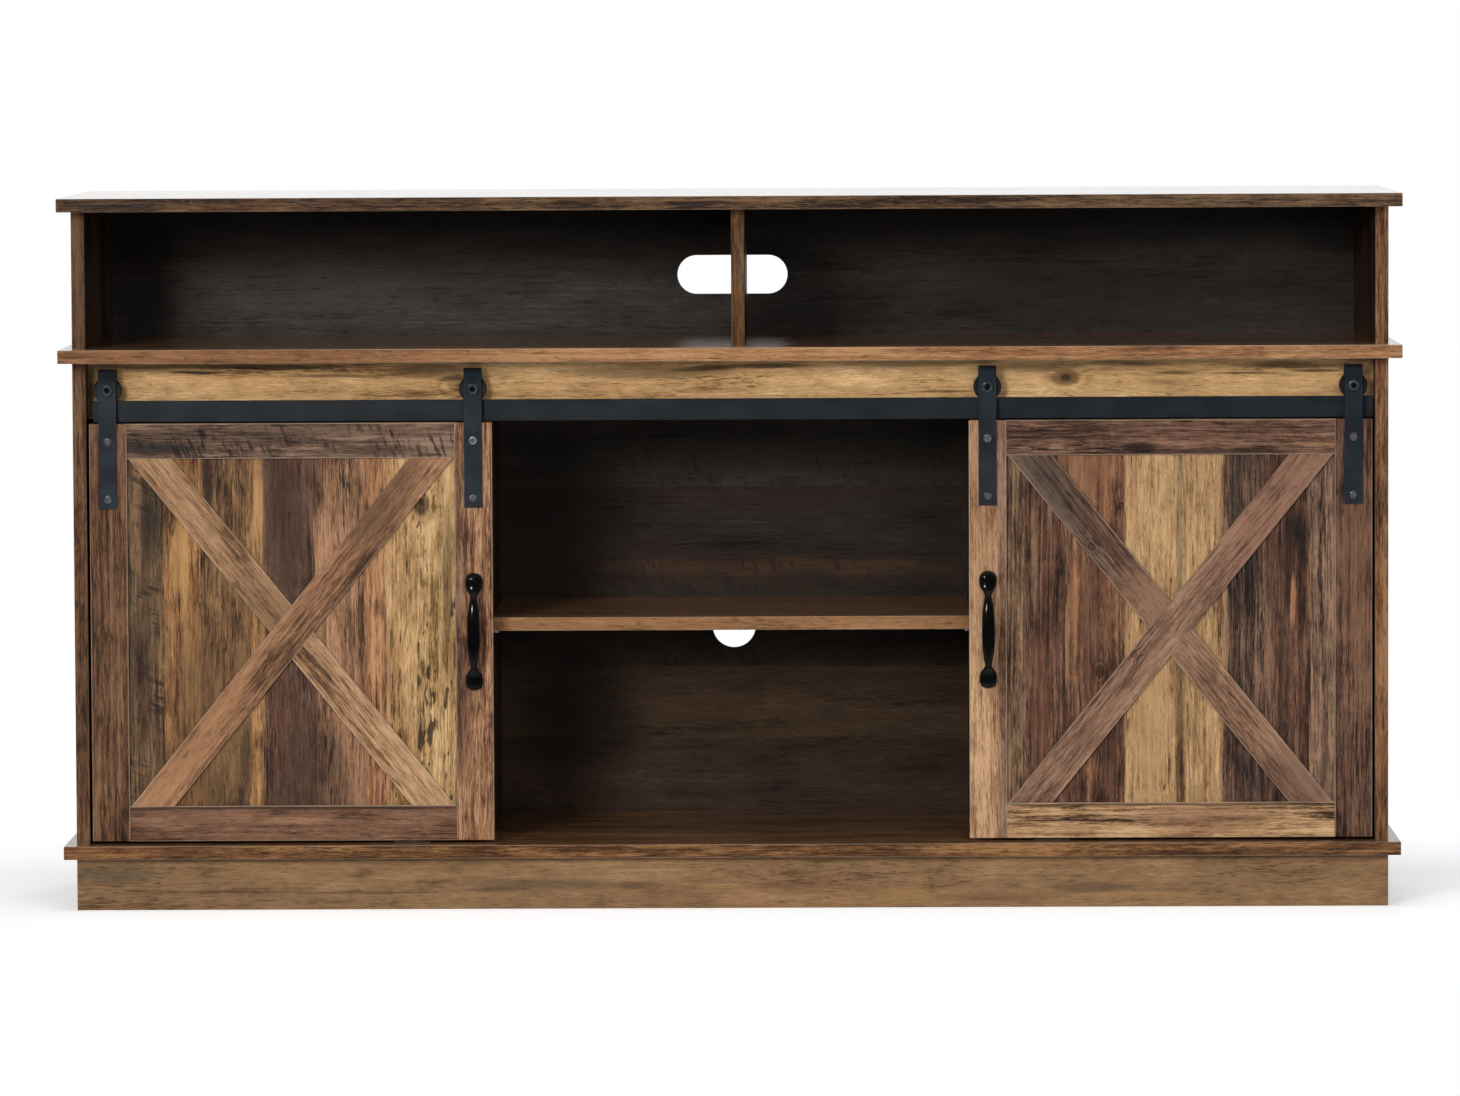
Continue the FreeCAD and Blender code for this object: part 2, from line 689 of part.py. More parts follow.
def make_door(side, sign):
    """A door: panel, two stiles, two trims, crossed braces, pull, two hangers and two wheels."""
    prefix = side + "_door_"
    x0, x1 = sorted((sign * door_inner, sign * door_outer))
    inner_stile = sign * (door_inner + stile_width / 2)
    outer_stile = sign * (door_outer - stile_width / 2)
    stiles = {prefix + "stile_inner": inner_stile, prefix + "stile_outer": outer_stile}
    screws, straps, axles = [], [], []
    for stile, x in stiles.items():
        straps.append(add_hanger_screws(prefix, stile, x, screws, make_hanger(x)))
        axles.extend(make_axle(x))
        finish_node(prefix + stile.split("_")[-1] + "_wheel", make_wheel(x))
    add_pull(prefix, prefix + "stile_inner", inner_stile, screws)
    for stile, x in stiles.items():
        finish_node(stile, eased_block(x - stile_width / 2, x + stile_width / 2,
                                       door_front, door_face, door_bottom, door_top))
    opening = (x0 + stile_width, x1 - stile_width)
    low, high = door_bottom + trim_rail_width, door_top - trim_rail_width
    finish_node(prefix + "top_trim", eased_block(*opening, door_front, door_face, high, door_top))
    finish_node(prefix + "bottom_trim", eased_block(*opening, door_front, door_face, door_bottom, low))
    make_braces(prefix, *opening, low, high)
    groove = block(x0, x1, groove_centre - groove_width / 2, groove_centre + groove_width / 2,
                   door_bottom, door_bottom + groove_depth)
    holes.setdefault(prefix + "panel", []).append(groove)
    finish_node(prefix + "panel", eased_block(x0, x1, door_face, door_rear, door_bottom, door_top))
    group(prefix + "hangers", straps)
    group(prefix + "screws", screws)
    group(prefix + "wheel_axles", axles)


def main():
    make_shelves()
    make_rail()
    make_plinth()
    make_upper_bays()
    make_lower_bays()
    make_floor_guides()
    make_door("left", -1)
    make_door("right", 1)
    group("shelf_pins", pins)
    group("cam_locks", cams)
    group("carcass_screws", carcass_screws)
    group("back_nails", nails)
    os.makedirs("parts", exist_ok=True)
    for name, shape in nodes.items():
        shape.exportStep("parts/" + name + ".step")
    print(len(nodes), "nodes; door travel", round(door_travel, 2))


main()
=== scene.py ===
import math

import bmesh
import bpy
from mathutils import Matrix, Vector


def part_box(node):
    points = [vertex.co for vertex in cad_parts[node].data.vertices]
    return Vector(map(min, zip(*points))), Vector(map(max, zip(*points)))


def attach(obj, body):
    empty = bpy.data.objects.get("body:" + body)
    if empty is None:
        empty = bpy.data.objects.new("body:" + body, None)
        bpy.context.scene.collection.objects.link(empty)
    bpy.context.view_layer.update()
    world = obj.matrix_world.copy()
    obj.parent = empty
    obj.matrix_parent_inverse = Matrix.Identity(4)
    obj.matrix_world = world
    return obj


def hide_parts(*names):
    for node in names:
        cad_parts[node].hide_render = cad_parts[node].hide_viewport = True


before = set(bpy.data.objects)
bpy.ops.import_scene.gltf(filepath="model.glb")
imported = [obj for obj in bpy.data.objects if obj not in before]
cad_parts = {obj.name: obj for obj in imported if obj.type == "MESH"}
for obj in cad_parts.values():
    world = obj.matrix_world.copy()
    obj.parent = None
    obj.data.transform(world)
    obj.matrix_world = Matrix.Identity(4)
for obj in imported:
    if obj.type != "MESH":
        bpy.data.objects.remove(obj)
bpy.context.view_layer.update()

MM = 0.001
DOORS = ("left_door", "right_door")


# ---------------------------------------- node expressions
def tone(code):
    """Linear colour of a hex code such as "8a6a45"."""
    parts = [int(code[i:i + 2], 16) / 255 for i in (0, 2, 4)]
    return tuple(p / 12.92 if p <= 0.04045 else ((p + 0.055) / 1.055) ** 2.4 for p in parts) + (1.0,)


class Wire:
    """A number or colour that comes out of a node, for use in Python expressions."""

    def __init__(self, net, socket):
        self.net = net
        self.socket = socket

    def __add__(self, other):
        return self.net.math("ADD", self, other)

    def __sub__(self, other):
        return self.net.math("SUBTRACT", self, other)

    def __mul__(self, other):
        return self.net.math("MULTIPLY", self, other)

    def __truediv__(self, other):
        return self.net.math("DIVIDE", self, other)

    def __rsub__(self, other):
        return self.net.math("SUBTRACT", other, self)

    def __abs__(self):
        return self.net.math("ABSOLUTE", self)

    __radd__ = __add__
    __rmul__ = __mul__

    def sin(self):
        return self.net.math("SINE", self)

    def root(self):
        return self.net.math("SQRT", self)

    def least(self, other):
        return self.net.math("MINIMUM", self, other)

    def most(self, other):
        return self.net.math("MAXIMUM", self, other)

    def ease(self, low, high):
        """0 below low, 1 above high, a soft step between; low may be above high."""
        return self.net.node("ShaderNodeMapRange", {"interpolation_type": "SMOOTHSTEP"},
                             {"Value": self, "From Min": low, "From Max": high})


class Net:
    """A node tree that is written as Python expressions."""

    def __init__(self, tree):
        self.tree = tree
        self.tree.nodes.clear()

    def node(self, kind, settings=None, inputs=None, output=0):
        made = self.tree.nodes.new(kind)
        for key, value in (settings or {}).items():
            if key == "stops":
                self.set_stops(made.color_ramp, value)
            elif key == "spread":
                made.color_ramp.interpolation = value
            else:
                setattr(made, key, value)
        for key, value in (inputs or {}).items():
            if isinstance(value, Wire):
                self.tree.links.new(value.socket, made.inputs[key])
            else:
                made.inputs[key].default_value = value
        return Wire(self, made.outputs[output]) if len(made.outputs) else None

    @staticmethod
    def set_stops(ramp, stops):
        while len(ramp.elements) < len(stops):
            ramp.elements.new(1.0)
        for element, (place, colour) in zip(ramp.elements, stops):
            element.position = place
            element.color = colour

    def math(self, operation, first, second=0.0):
        return self.node("ShaderNodeMath", {"operation": operation}, {0: first, 1: second})

    def parts(self, vector):
        """The three parts of a vector or colour."""
        split = self.node("ShaderNodeSeparateXYZ", None, {0: vector}).socket.node
        return [Wire(self, output) for output in split.outputs]

    def vector(self, x, y, z):
        return self.node("ShaderNodeCombineXYZ", None, {0: x, 1: y, 2: z})

    def ray(self, kind):
        """1 for light rays of a kind, such as "Camera"."""
        return self.node("ShaderNodeLightPath", output="Is " + kind + " Ray")

    def noise(self, place, detail=2.0, roughness=0.5):
        return self.node("ShaderNodeTexNoise", None,
                         {"Vector": place, "Scale": 1.0, "Detail": detail, "Roughness": roughness})

    def mix(self, amount, first, second, blend="MIX"):
        return self.node("ShaderNodeMix", {"data_type": "RGBA", "blend_type": blend},
                         {0: amount, 6: first, 7: second}, 2)

    def by_place(self, place, low, high, values, spread="CONSTANT"):
        """Colour that changes with a place; values are (start, colour) pairs."""
        stops = [(max(0.0, (start - low) / (high - low)), colour) for start, colour in values]
        return self.node("ShaderNodeValToRGB", {"stops": stops, "spread": spread},
                         {0: (place - low) / (high - low)})


class Finish(Net):
    """The nodes of a material or of the world, which start from the place on the piece."""

    def __init__(self, name, world=False):
        self.material = (bpy.data.worlds if world else bpy.data.materials).new(name)
        self.material.use_nodes = True
        super().__init__(self.material.node_tree)
        place = self.node("ShaderNodeTexCoord", output="Generated" if world else "Object")
        self.x, self.y, self.z = self.parts(place)

    def surface(self, **sockets):
        """Principled surface with the given sockets, written with underscores for spaces."""
        names = {key.replace("_", " ").title().replace("Ior", "IOR"): value
                 for key, value in sockets.items()}
        made = self.node("ShaderNodeBsdfPrincipled", None, names)
        self.node("ShaderNodeOutputMaterial", None, {"Surface": made})
        return self.material

    def even(self, repeats, detail=2.0, roughness=0.5, upright=None):
        """Noise in repeats per metre, with another number upwards if given."""
        place = self.vector(self.x * repeats, self.y * repeats, self.z * (upright or repeats))
        return self.noise(place, detail, roughness)

    def layer(self, scales, along, across, into):
        """One layer of a print, from a row of scales listed under printed wood."""
        *repeats, detail, roughness = scales
        place = [wire * repeat for wire, repeat in zip((along, across, into), repeats)]
        return self.noise(self.vector(*place), detail, roughness)

    def bump(self, height, distance, strength):
        return self.node("ShaderNodeBump", None,
                         {"Height": height, "Distance": distance, "Strength": strength})


class Form(Net):
    """A geometry tree with named sizes, which makes a shape that repeats."""

    def __init__(self, name, sizes):
        super().__init__(bpy.data.node_groups.new(name, "GeometryNodeTree"))
        panel = self.tree.interface
        panel.new_socket("Geometry", in_out="INPUT", socket_type="NodeSocketGeometry")
        for title in sizes:
            panel.new_socket(title, in_out="INPUT", socket_type="NodeSocketFloat")
        panel.new_socket("Finish", in_out="INPUT", socket_type="NodeSocketMaterial")
        panel.new_socket("Geometry", in_out="OUTPUT", socket_type="NodeSocketGeometry")
        start = self.tree.nodes.new("NodeGroupInput")
        self.given = {socket.name: Wire(self, socket) for socket in start.outputs if socket.name}
        self.sizes = sizes

    def other(self, wire, title):
        """Another output of the node that a wire comes from."""
        return Wire(self, wire.socket.node.outputs[title])

    def close(self, shape):
        """Real copies with their finish, as what the tree gives."""
        real = self.node("GeometryNodeRealizeInstances", None, {0: shape})
        dressed = self.node("GeometryNodeSetMaterial", None,
                            {"Geometry": real, "Material": self.given["Finish"]})
        self.node("NodeGroupOutput", None, {0: dressed})

    def run(self, name, places, **changes):
        """A plain mesh piece of the shape at each place, with some sizes changed."""
        sizes = dict(self.sizes, **{key.replace("_", " "): value for key, value in changes.items()})
        mesh = bmesh.new()
        for place in places:
            mesh.verts.new(place)
        piece = new_piece(name, mesh)
        modifier = piece.modifiers.new(self.tree.name, "NODES")
        modifier.node_group = self.tree
        for item in self.tree.interface.items_tree:
            if item.in_out == "INPUT" and item.name in sizes:
                modifier[item.identifier] = sizes[item.name]
        apply_modifiers(piece)
        return piece


# ---------------------------------------- printed wood
class Grain:
    """Where a board's grain runs: along it, across its width, and into its thickness."""

    def __init__(self, along, across, into):
        self.axes = (Vector(along), Vector(across), Vector(into))

    def wires(self, net):
        found = []
        for axis in self.axes:
            terms = [wire * part for wire, part in zip((net.x, net.y, net.z), axis) if abs(part) > 1e-6]
            total = terms[0]
            for term in terms[1:]:
                total = total + term
            found.append(total)
        return found


LENGTHWISE = Grain((1, 0, 0), (0, 1, 0), (0, 0, 1))
LENGTHWISE_FACE = Grain((1, 0, 0), (0, 0, 1), (0, 1, 0))
UPRIGHT = Grain((0, 0, 1), (0, 1, 0), (1, 0, 0))
UPRIGHT_FACE = Grain((0, 0, 1), (1, 0, 0), (0, 1, 0))
DEPTHWISE_FACE = Grain((0, 1, 0), (0, 0, 1), (1, 0, 0))


def plank(start, dark, middle, light, streaks=1.0, flecks=0.0, sawn=0.0, smoke=0.0):
    """One printed plank: where it starts across the board, its tones, and how marked it is."""
    return {"start": start, "tones": (tone(dark), tone(middle), tone(light)),
            "marks": (streaks / 2, flecks, sawn), "smoke": smoke}


# Layers of the print: repeats per metre along, across and into a board, then detail and roughness.
CLOUD = (4.2, 22.0, 30.0, 4.0, 0.66)
SMUDGE = (14.0, 34.0, 60.0, 5.0, 0.7)
LINES = (5.0, 230.0, 230.0, 5.0, 0.75)
FIBRE = (50.0, 650.0, 650.0, 2.0, 0.9)
DOTS = (42.0, 160.0, 90.0, 2.0, 0.55)

RED_STAIN, SMOKE, SOOT = tone("8a5038"), tone("23201e"), tone("2b211b")
CRACK, WORN = tone("17110e"), tone("b9a58c")
JOINT_BLUR = 1.6 * MM
PLANK_SHIFT, SHIFT_SPREAD = 0.37, 9.0
WASH_EDGE = 1.4
PALE_LINE = (1.4 * MM, 0.2 * MM)


def plank_values(net, across, planks):
    """Tones, marks, smoke and pattern shift of the plank at each place."""
    if len(planks) == 1:
        only = planks[0]
        return only["tones"], (only["marks"][0] * 2,) + only["marks"][1:], only["smoke"], 0.0
    low = planks[0]["start"]
    high = planks[-1]["start"] + 0.01

    def pick(colours, blur=0.0):
        values = [(low, colours[0])]
        for p, before, after in zip(planks[1:], colours, colours[1:]):
            values += ([(p["start"] - blur, before), (p["start"] + blur, after)] if blur
                       else [(p["start"], after)])
        return net.by_place(across, low, high, values, "LINEAR" if blur else "CONSTANT")

    tones = [pick([p["tones"][i] for p in planks], JOINT_BLUR) for i in range(3)]
    streaks, flecks, sawn = net.parts(pick([p["marks"] + (1.0,) for p in planks]))
    smoke, shift = net.parts(pick([(p["smoke"], (PLANK_SHIFT * i) % 1, 0.0, 1.0)
                                   for i, p in enumerate(planks)]))[:2]
    return tones, (streaks * 2.0, flecks, sawn), smoke, shift * SHIFT_SPREAD


RING_DEPTH = 0.3
RINGS_PER_KNOT = 9.0


def knot_rings(along, across, knots):
    """Rings and dark hearts of knots, and how far they push the grain aside.

    knots are (along, across, half length, half width, darkness)."""
    rings, heart, push = 0.0, 0.0, 0.0
    for a0, c0, half_length, half_width, depth in knots:
        da = (along - a0) / half_length
        dc = (across - c0) / half_width
        far = (da * da + dc * dc).root()
        near = far.ease(1.8, 0.3)
        rings = rings + ((far * RINGS_PER_KNOT).sin() - 0.8) * near * (RING_DEPTH * (0.4 + depth))
        heart = heart + far.ease(0.5, 0.15) * depth
        push = push + dc * near * (half_width * 0.8)
    return rings, heart, push


def edge_line(net):
    """1 on the eased edges round a front or rear face, where the print wears pale."""
    normal = net.node("ShaderNodeNewGeometry", output="True Normal")
    return abs(abs(net.parts(normal)[1]) - 0.707).ease(0.2, 0.08)


def reach(node, axis):
    """How far a node reaches along an axis, as its lowest and highest place."""
    places = [vertex.co.dot(axis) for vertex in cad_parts[node].data.vertices]
    return min(places), max(places)


# Tones that the inward faces of the uprights are multiplied by: painted shade inside the bays, deeper on
# the upper right side.
SHADED_INSIDE, DEEP_INSIDE_SHADE = "a39e99", "6e6a66"


def wood(name, grain, planks, seed, contrast=1.0, cracks=0.6, knots=(), patches=(), rear=None,
         gloss=0.4, coat=0.0, pale_edge=0.45, sides=None, red=0.2, soot=0.45, lining=None,
         lining_tone=SHADED_INSIDE):
    """Laminate board with a printed reclaimed-wood face.

    patches are (along, across, half length, half width, colour, amount) washes over the print;
    sides are the places across the grain where a narrow piece's long edges show pale;
    the inside shade is 1, -1 or 0 where faces that look right, left or both ways get painted shade,
    darker by its tone."""
    net = Finish(name)
    along, across, into = grain.wires(net)
    slow = net.noise(net.vector(along * 1.9 + seed, across * 13.0, into * 13.0), 2.0) - 0.5
    wave = net.noise(net.vector(along * 16.0 + seed, across * 34.0, into * 34.0), 2.0) - 0.5
    ragged = net.noise(net.vector(along * 5.0 + seed, across * 170.0, into * 30.0), 4.0, 0.7) - 0.5
    tones, (streaks, flecks, sawn), smoke, shift = plank_values(
        net, across + wave * 0.004 + ragged * 0.02, planks)
    rings, heart, push = knot_rings(along, across, knots)
    bent = across + slow * 0.02 + wave * 0.003 + push
    deep = into + shift + seed * 0.61

    cloud = net.layer(CLOUD, along, bent, deep) - 0.5
    smudge = net.layer(SMUDGE, along, across, deep) - 0.5
    lines = net.layer(LINES, along, bent, deep) - 0.5
    fibre = net.layer(FIBRE, along, bent, deep) - 0.5
    shade = cloud * 2.0 + smudge * 1.8 + lines * streaks * 2.6 + fibre * 2.2 + rings
    level = shade * contrast + 0.5
    colour = net.mix(level.ease(0.0, 0.5), tones[0], tones[1])
    colour = net.mix(level.ease(0.5, 1.05), colour, tones[2])
    colour = net.mix(slow.ease(0.0, 0.3) * red, colour, RED_STAIN)
    for a0, c0, half_length, half_width, wash, amount in patches:
        da = (along - a0) / half_length
        dc = (across + wave * 0.006 - c0) / half_width
        cover = (da * da + dc * dc - lines * 2.4 - smudge * 2.4).ease(WASH_EDGE, 0.0) * amount
        colour = net.mix(cover, colour, tone(wash))
    if any(p["smoke"] for p in planks):
        haze = net.noise(net.vector(along * 2.6 + 9.0, bent * 44.0, deep * 20.0), 3.0, 0.55)
        colour = net.mix((haze + lines * 0.3).ease(0.46, 0.62) * smoke, colour, SMOKE)

    colour = net.mix(smudge.ease(-0.05, -0.27) * soot, colour, SOOT)
    field = net.noise(net.vector(along * 3.0 + 7.0, bent * 60.0, deep * 30.0), 3.0, 0.6)
    split = abs(field - 0.5).ease(0.022, 0.006) * (cloud + fibre * 0.8).ease(-0.02, -0.14) * cracks
    pores = net.noise(net.vector(along * 70.0, bent * 640.0, deep * 300.0 + 3.0), 1.0)
    split = split.most(level.ease(0.02, -0.45) * 0.8).most(
        (pores + cloud * -0.25).ease(0.63, 0.73) * 0.6)
    if any(p["marks"][1] for p in planks):
        dots = net.layer(DOTS, along, bent, deep)
        split = split.most(dots.ease(0.54, 0.6) * (field + slow * 0.6).ease(0.4, 0.52) * flecks)
    if any(p["marks"][2] for p in planks):
        cut = along + across * 0.35
        bite = net.noise(net.vector(cut * 190.0, across * 34.0, seed), 2.0, 0.6)
        weft = net.noise(net.vector(cut * 18.0, across * 26.0, seed + 5.0), 2.0, 0.6)
        split = split.most(bite.ease(0.48, 0.62) * weft.ease(0.44, 0.6) * sawn)
    if knots:
        split = split.most(heart)
    colour = net.mix(split * 0.85, colour, CRACK)
    if sides:
        worn = (across - sides[0]).least(sides[1] - across).ease(*PALE_LINE) * (lines + 0.62)
        colour = net.mix(worn, colour, WORN)
    elif pale_edge:
        colour = net.mix(edge_line(net) * pale_edge, colour, WORN)
    height = lines * 0.5 + fibre * 0.6 - split * 1.2
    rough = fibre * 0.2 + split * 0.15 + gloss
    # Painted shade: faces that look into the bays are darkened by a tone.
    if lining is not None:
        facing = net.parts(net.node("ShaderNodeNewGeometry", output="True Normal"))[0]
        inside = (facing * lining if lining else abs(facing)).ease(0.4, 0.6)
        colour = net.mix(inside, colour, tone(lining_tone), "MULTIPLY")
    if rear:
        colour, rough, height = bare_rear(net, rear, colour, rough, height)
    return net.surface(base_color=colour, roughness=rough, specular_IOR_level=0.3, coat_weight=coat,
                       coat_roughness=0.12, normal=net.bump(height, 0.18 * MM, 0.5))


def bare_rear(net, rear, colour, rough, height):
    """The unprinted side of a thin back: plain pressed board that faces backwards."""
    normal = net.node("ShaderNodeNewGeometry", output="True Normal")
    behind = net.parts(normal)[1].ease(0.4, 0.6)
    felt = net.even(900.0, 3.0, 0.7)
    blotch = net.even(6.0, 3.0)
    pressed = net.mix((felt * 0.6 + blotch * 0.6).ease(0.3, 0.9), tone(rear[0]), tone(rear[1]))
    return (net.mix(behind, colour, pressed), rough + (0.75 - rough) * behind,
            height + (felt * 0.6 - height) * behind)


# ---------------------------------------- metal and plastic
def painted_steel(name, colour, sheen, rough, specular=0.5):
    """Powder-coated steel with a faint orange peel and softly rubbed patches."""
    net = Finish(name)
    peel = net.even(900.0)
    rubbed = net.even(22.0, 4.0, 0.6, upright=40.0)
    shade = net.mix(rubbed.ease(0.35, 0.7), tone(colour), tone(sheen))
    return net.surface(base_color=shade, roughness=(rubbed - 0.5) * 0.16 + rough,
                       specular_IOR_level=specular, normal=net.bump(peel, 0.05 * MM, 0.4))


def black_oxide(name, dull, bright, sockets=(), radius=2.5 * MM, floor="101113", metal=0.85):
    """Blackened steel that still shines, with sockets at places given as (x, z) in a floor tone; the
    dark default is grime and painted shade in the hollow.
    """
    net = Finish(name)
    turned = net.even(500.0, 3.0, 0.6)
    wear = net.even(60.0, 3.0, 0.6)
    shade = net.mix((wear * 0.6 + turned * 0.5).ease(0.45, 0.75), tone(dull), tone(bright))
    # Socket floors: a dark floor is grime and painted shade in the hollow, a pale floor is a painted
    # glint.
    for x, z in sockets:
        dx, dz = net.x - x, net.z - z
        shade = net.mix((dx * dx + dz * dz).root().ease(radius * 1.12, radius), shade, tone(floor))
    return net.surface(base_color=shade, roughness=turned * 0.16 + 0.22, metallic=metal,
                       normal=net.bump(turned, 0.04 * MM, 0.4))


def zinc_plate(name, dull="8d8f8f", bright="c3c4c1", metal=1.0):
    """Bright plated steel with fine turning marks."""
    net = Finish(name)
    turned = net.even(400.0, 3.0, 0.7, upright=2500.0)
    shade = net.mix(turned.ease(0.3, 0.7), tone(dull), tone(bright))
    return net.surface(base_color=shade, roughness=turned * 0.2 + 0.24, metallic=metal,
                       normal=net.bump(turned, 0.03 * MM, 0.4))


def moulded_plastic(name, colour, light, rough):
    """Matte moulded plastic with a fine spark texture."""
    net = Finish(name)
    spark = net.even(1500.0, 2.0, 0.6)
    wear = net.even(60.0, 3.0, 0.6)
    shade = net.mix(wear.ease(0.4, 0.75), tone(colour), tone(light))
    return net.surface(base_color=shade, roughness=(spark - 0.5) * 0.2 + rough,
                       normal=net.bump(spark, 0.05 * MM, 0.5))


# ---------------------------------------- the stand's own finishes
def dress(node, material):
    """Give a CAD node its finish."""
    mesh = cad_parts[node].data
    mesh.materials.clear()
    mesh.materials.append(material)


NARROW = ("stile", "trim", "brace")


def board(node, title, grain, planks, seed, **look):
    """Give a board its print; narrow door pieces show pale long edges."""
    if any(word in node for word in NARROW):
        look["sides"] = reach(node, grain.axes[1])
    dress(node, wood(title, grain, planks, seed, **look))


def finish_carcass():
    """Brown laminate on the boards; every board has its own cut of the print."""
    planked_top = [plank(-0.21, "2f2118", "5a4431", "7a5d42", 1.4, 0.0, 0.3),
                   plank(-0.118, "6d4d34", "8f6a49", "b18b62", 1.1, 0.3),
                   plank(-0.03, "3f2e24", "5a4334", "75593f", 1.0, 0.0, 0.9),
                   plank(0.055, "7a5837", "a17b50", "c29b6b", 0.9, 0.6),
                   plank(0.135, "4f3828", "6c4d37", "86664a", 1.1)]
    board("top_panel", "top_laminate", LENGTHWISE, planked_top, 1.3, cracks=1.0, gloss=0.22,
          coat=1.0, pale_edge=0.2)
    # The front edge is washed darker on the left: painted shade, as less light falls on the left.
    board("mid_panel", "middle_panel_laminate", LENGTHWISE,
          [plank(-0.2, "785031", "986c49", "b6895f", 1.2)], 4.1, contrast=0.9,
          cracks=0.4, gloss=0.25, coat=0.6, pale_edge=0.5,
          patches=[(-0.65, -0.2, 0.4, 0.02, "76523a", 0.45)])
    board("bottom_panel", "bottom_panel_laminate", LENGTHWISE,
          [plank(-0.2, "4a2f1b", "6f4c2f", "997048", 1.4)], 7.7, gloss=0.28, coat=0.35)
    for number, node in enumerate(("centre_shelf", "cabinet_shelf_left", "cabinet_shelf_right")):
        board(node, node + "_laminate", LENGTHWISE,
              [plank(-0.2, "74502f", "936a48", "a87d58", 0.7)], 11.3 + number, contrast=0.7,
              gloss=0.28, coat=0.4)
    sides = [plank(-0.21, "452e1e", "62452f", "7c5c41", 0.9),
             plank(-0.06, "5c412d", "7a5a3f", "98744f", 1.0, 0.2),
             plank(0.05, "3f2e25", "584236", "70574a", 1.0, 0.0, 0.6),
             plank(0.12, "553c2a", "6f513a", "8a6848")]
    # The right sides are painted lighter and the upper left side darker than the rest: painted light and
    # shade, as more light falls on the right.
    lit_right_sides = [plank(-0.21, "573925", "7a5539", "9a704d", 0.9),
                   plank(0.0, "684932", "8a6445", "ab8156", 1.0, 0.2)]
    shaded_upper_left_side = [plank(-0.21, "3a2618", "543a27", "6a4e37", 0.9)] + sides[1:]
    uprights = (("upper_side_left", 1, shaded_upper_left_side), ("upper_side_right", -1, lit_right_sides),
                ("lower_side_left", 1, sides), ("lower_side_right", -1, lit_right_sides),
                ("partition_left", 0, sides), ("partition_right", 0, sides))
    # Each upright's inward faces get painted shade; the upper right side's is the deeper one.
    for number, (node, lining, planks) in enumerate(uprights):
        board(node, node + "_laminate", UPRIGHT, planks, 2.9 + 3.7 * number, gloss=0.36,
              contrast=1.3, lining=lining,
              lining_tone=DEEP_INSIDE_SHADE if node == "upper_side_right" else SHADED_INSIDE)
    board("upper_divider", "divider_laminate", UPRIGHT,
          [plank(-0.2, "432b18", "5d4026", "7a5735", 1.3)], 31.0, contrast=1.1, lining=0)


def finish_header():
    """Honey board behind the rail, streaked dark along its top, with knots."""
    knots = [(0.377, 0.594, 0.022, 0.014, 0.95), (-0.304, 0.588, 0.02, 0.01, 0.7),
             (0.02, 0.592, 0.011, 0.005, 0.35), (0.1, 0.591, 0.009, 0.005, 0.3)]
    # The dark patch at the left end, beside the side panel, is painted shadow.
    washes = [(-0.53, 0.61, 0.15, 0.0035, "33251a", 0.85), (-0.595, 0.6035, 0.035, 0.002, "2b1f16", 0.9),
              (-0.66, 0.609, 0.06, 0.005, "7d5a3a", 0.6), (-0.725, 0.59, 0.03, 0.03, "5d452f", 0.6),
              (-0.345, 0.605, 0.05, 0.008, "5d462e", 0.8), (-0.44, 0.599, 0.07, 0.002, "5a412b", 0.7),
              (-0.31, 0.597, 0.02, 0.004, "2b1f16", 0.8), (-0.09, 0.602, 0.1, 0.009, "6b5437", 0.65),
              (-0.03, 0.606, 0.04, 0.004, "2f2418", 0.8), (0.03, 0.608, 0.07, 0.003, "2f2418", 0.8),
              (0.2, 0.61, 0.08, 0.004, "6e5236", 0.6), (0.24, 0.5785, 0.04, 0.0015, "3a2a1c", 0.8),
              (0.35, 0.606, 0.05, 0.006, "5b4529", 0.7), (0.375, 0.594, 0.022, 0.008, "5e4329", 0.7),
              (0.45, 0.609, 0.06, 0.004, "4d3826", 0.8), (0.49, 0.588, 0.03, 0.005, "6f5337", 0.6),
              (0.5, 0.599, 0.03, 0.003, "47331f", 0.8), (0.58, 0.598, 0.04, 0.0015, "3a2a1c", 0.7),
              (0.63, 0.607, 0.07, 0.0045, "4a3422", 0.85), (0.66, 0.601, 0.03, 0.002, "2b1f16", 0.8)]
    board("header_board", "header_honey_board", LENGTHWISE_FACE,
          [plank(0.5, "8f6c43", "c79f6c", "ecc793", 0.6, 0.12)], 5.2, contrast=0.7,
          cracks=0.7, knots=knots, patches=washes, soot=0.25)


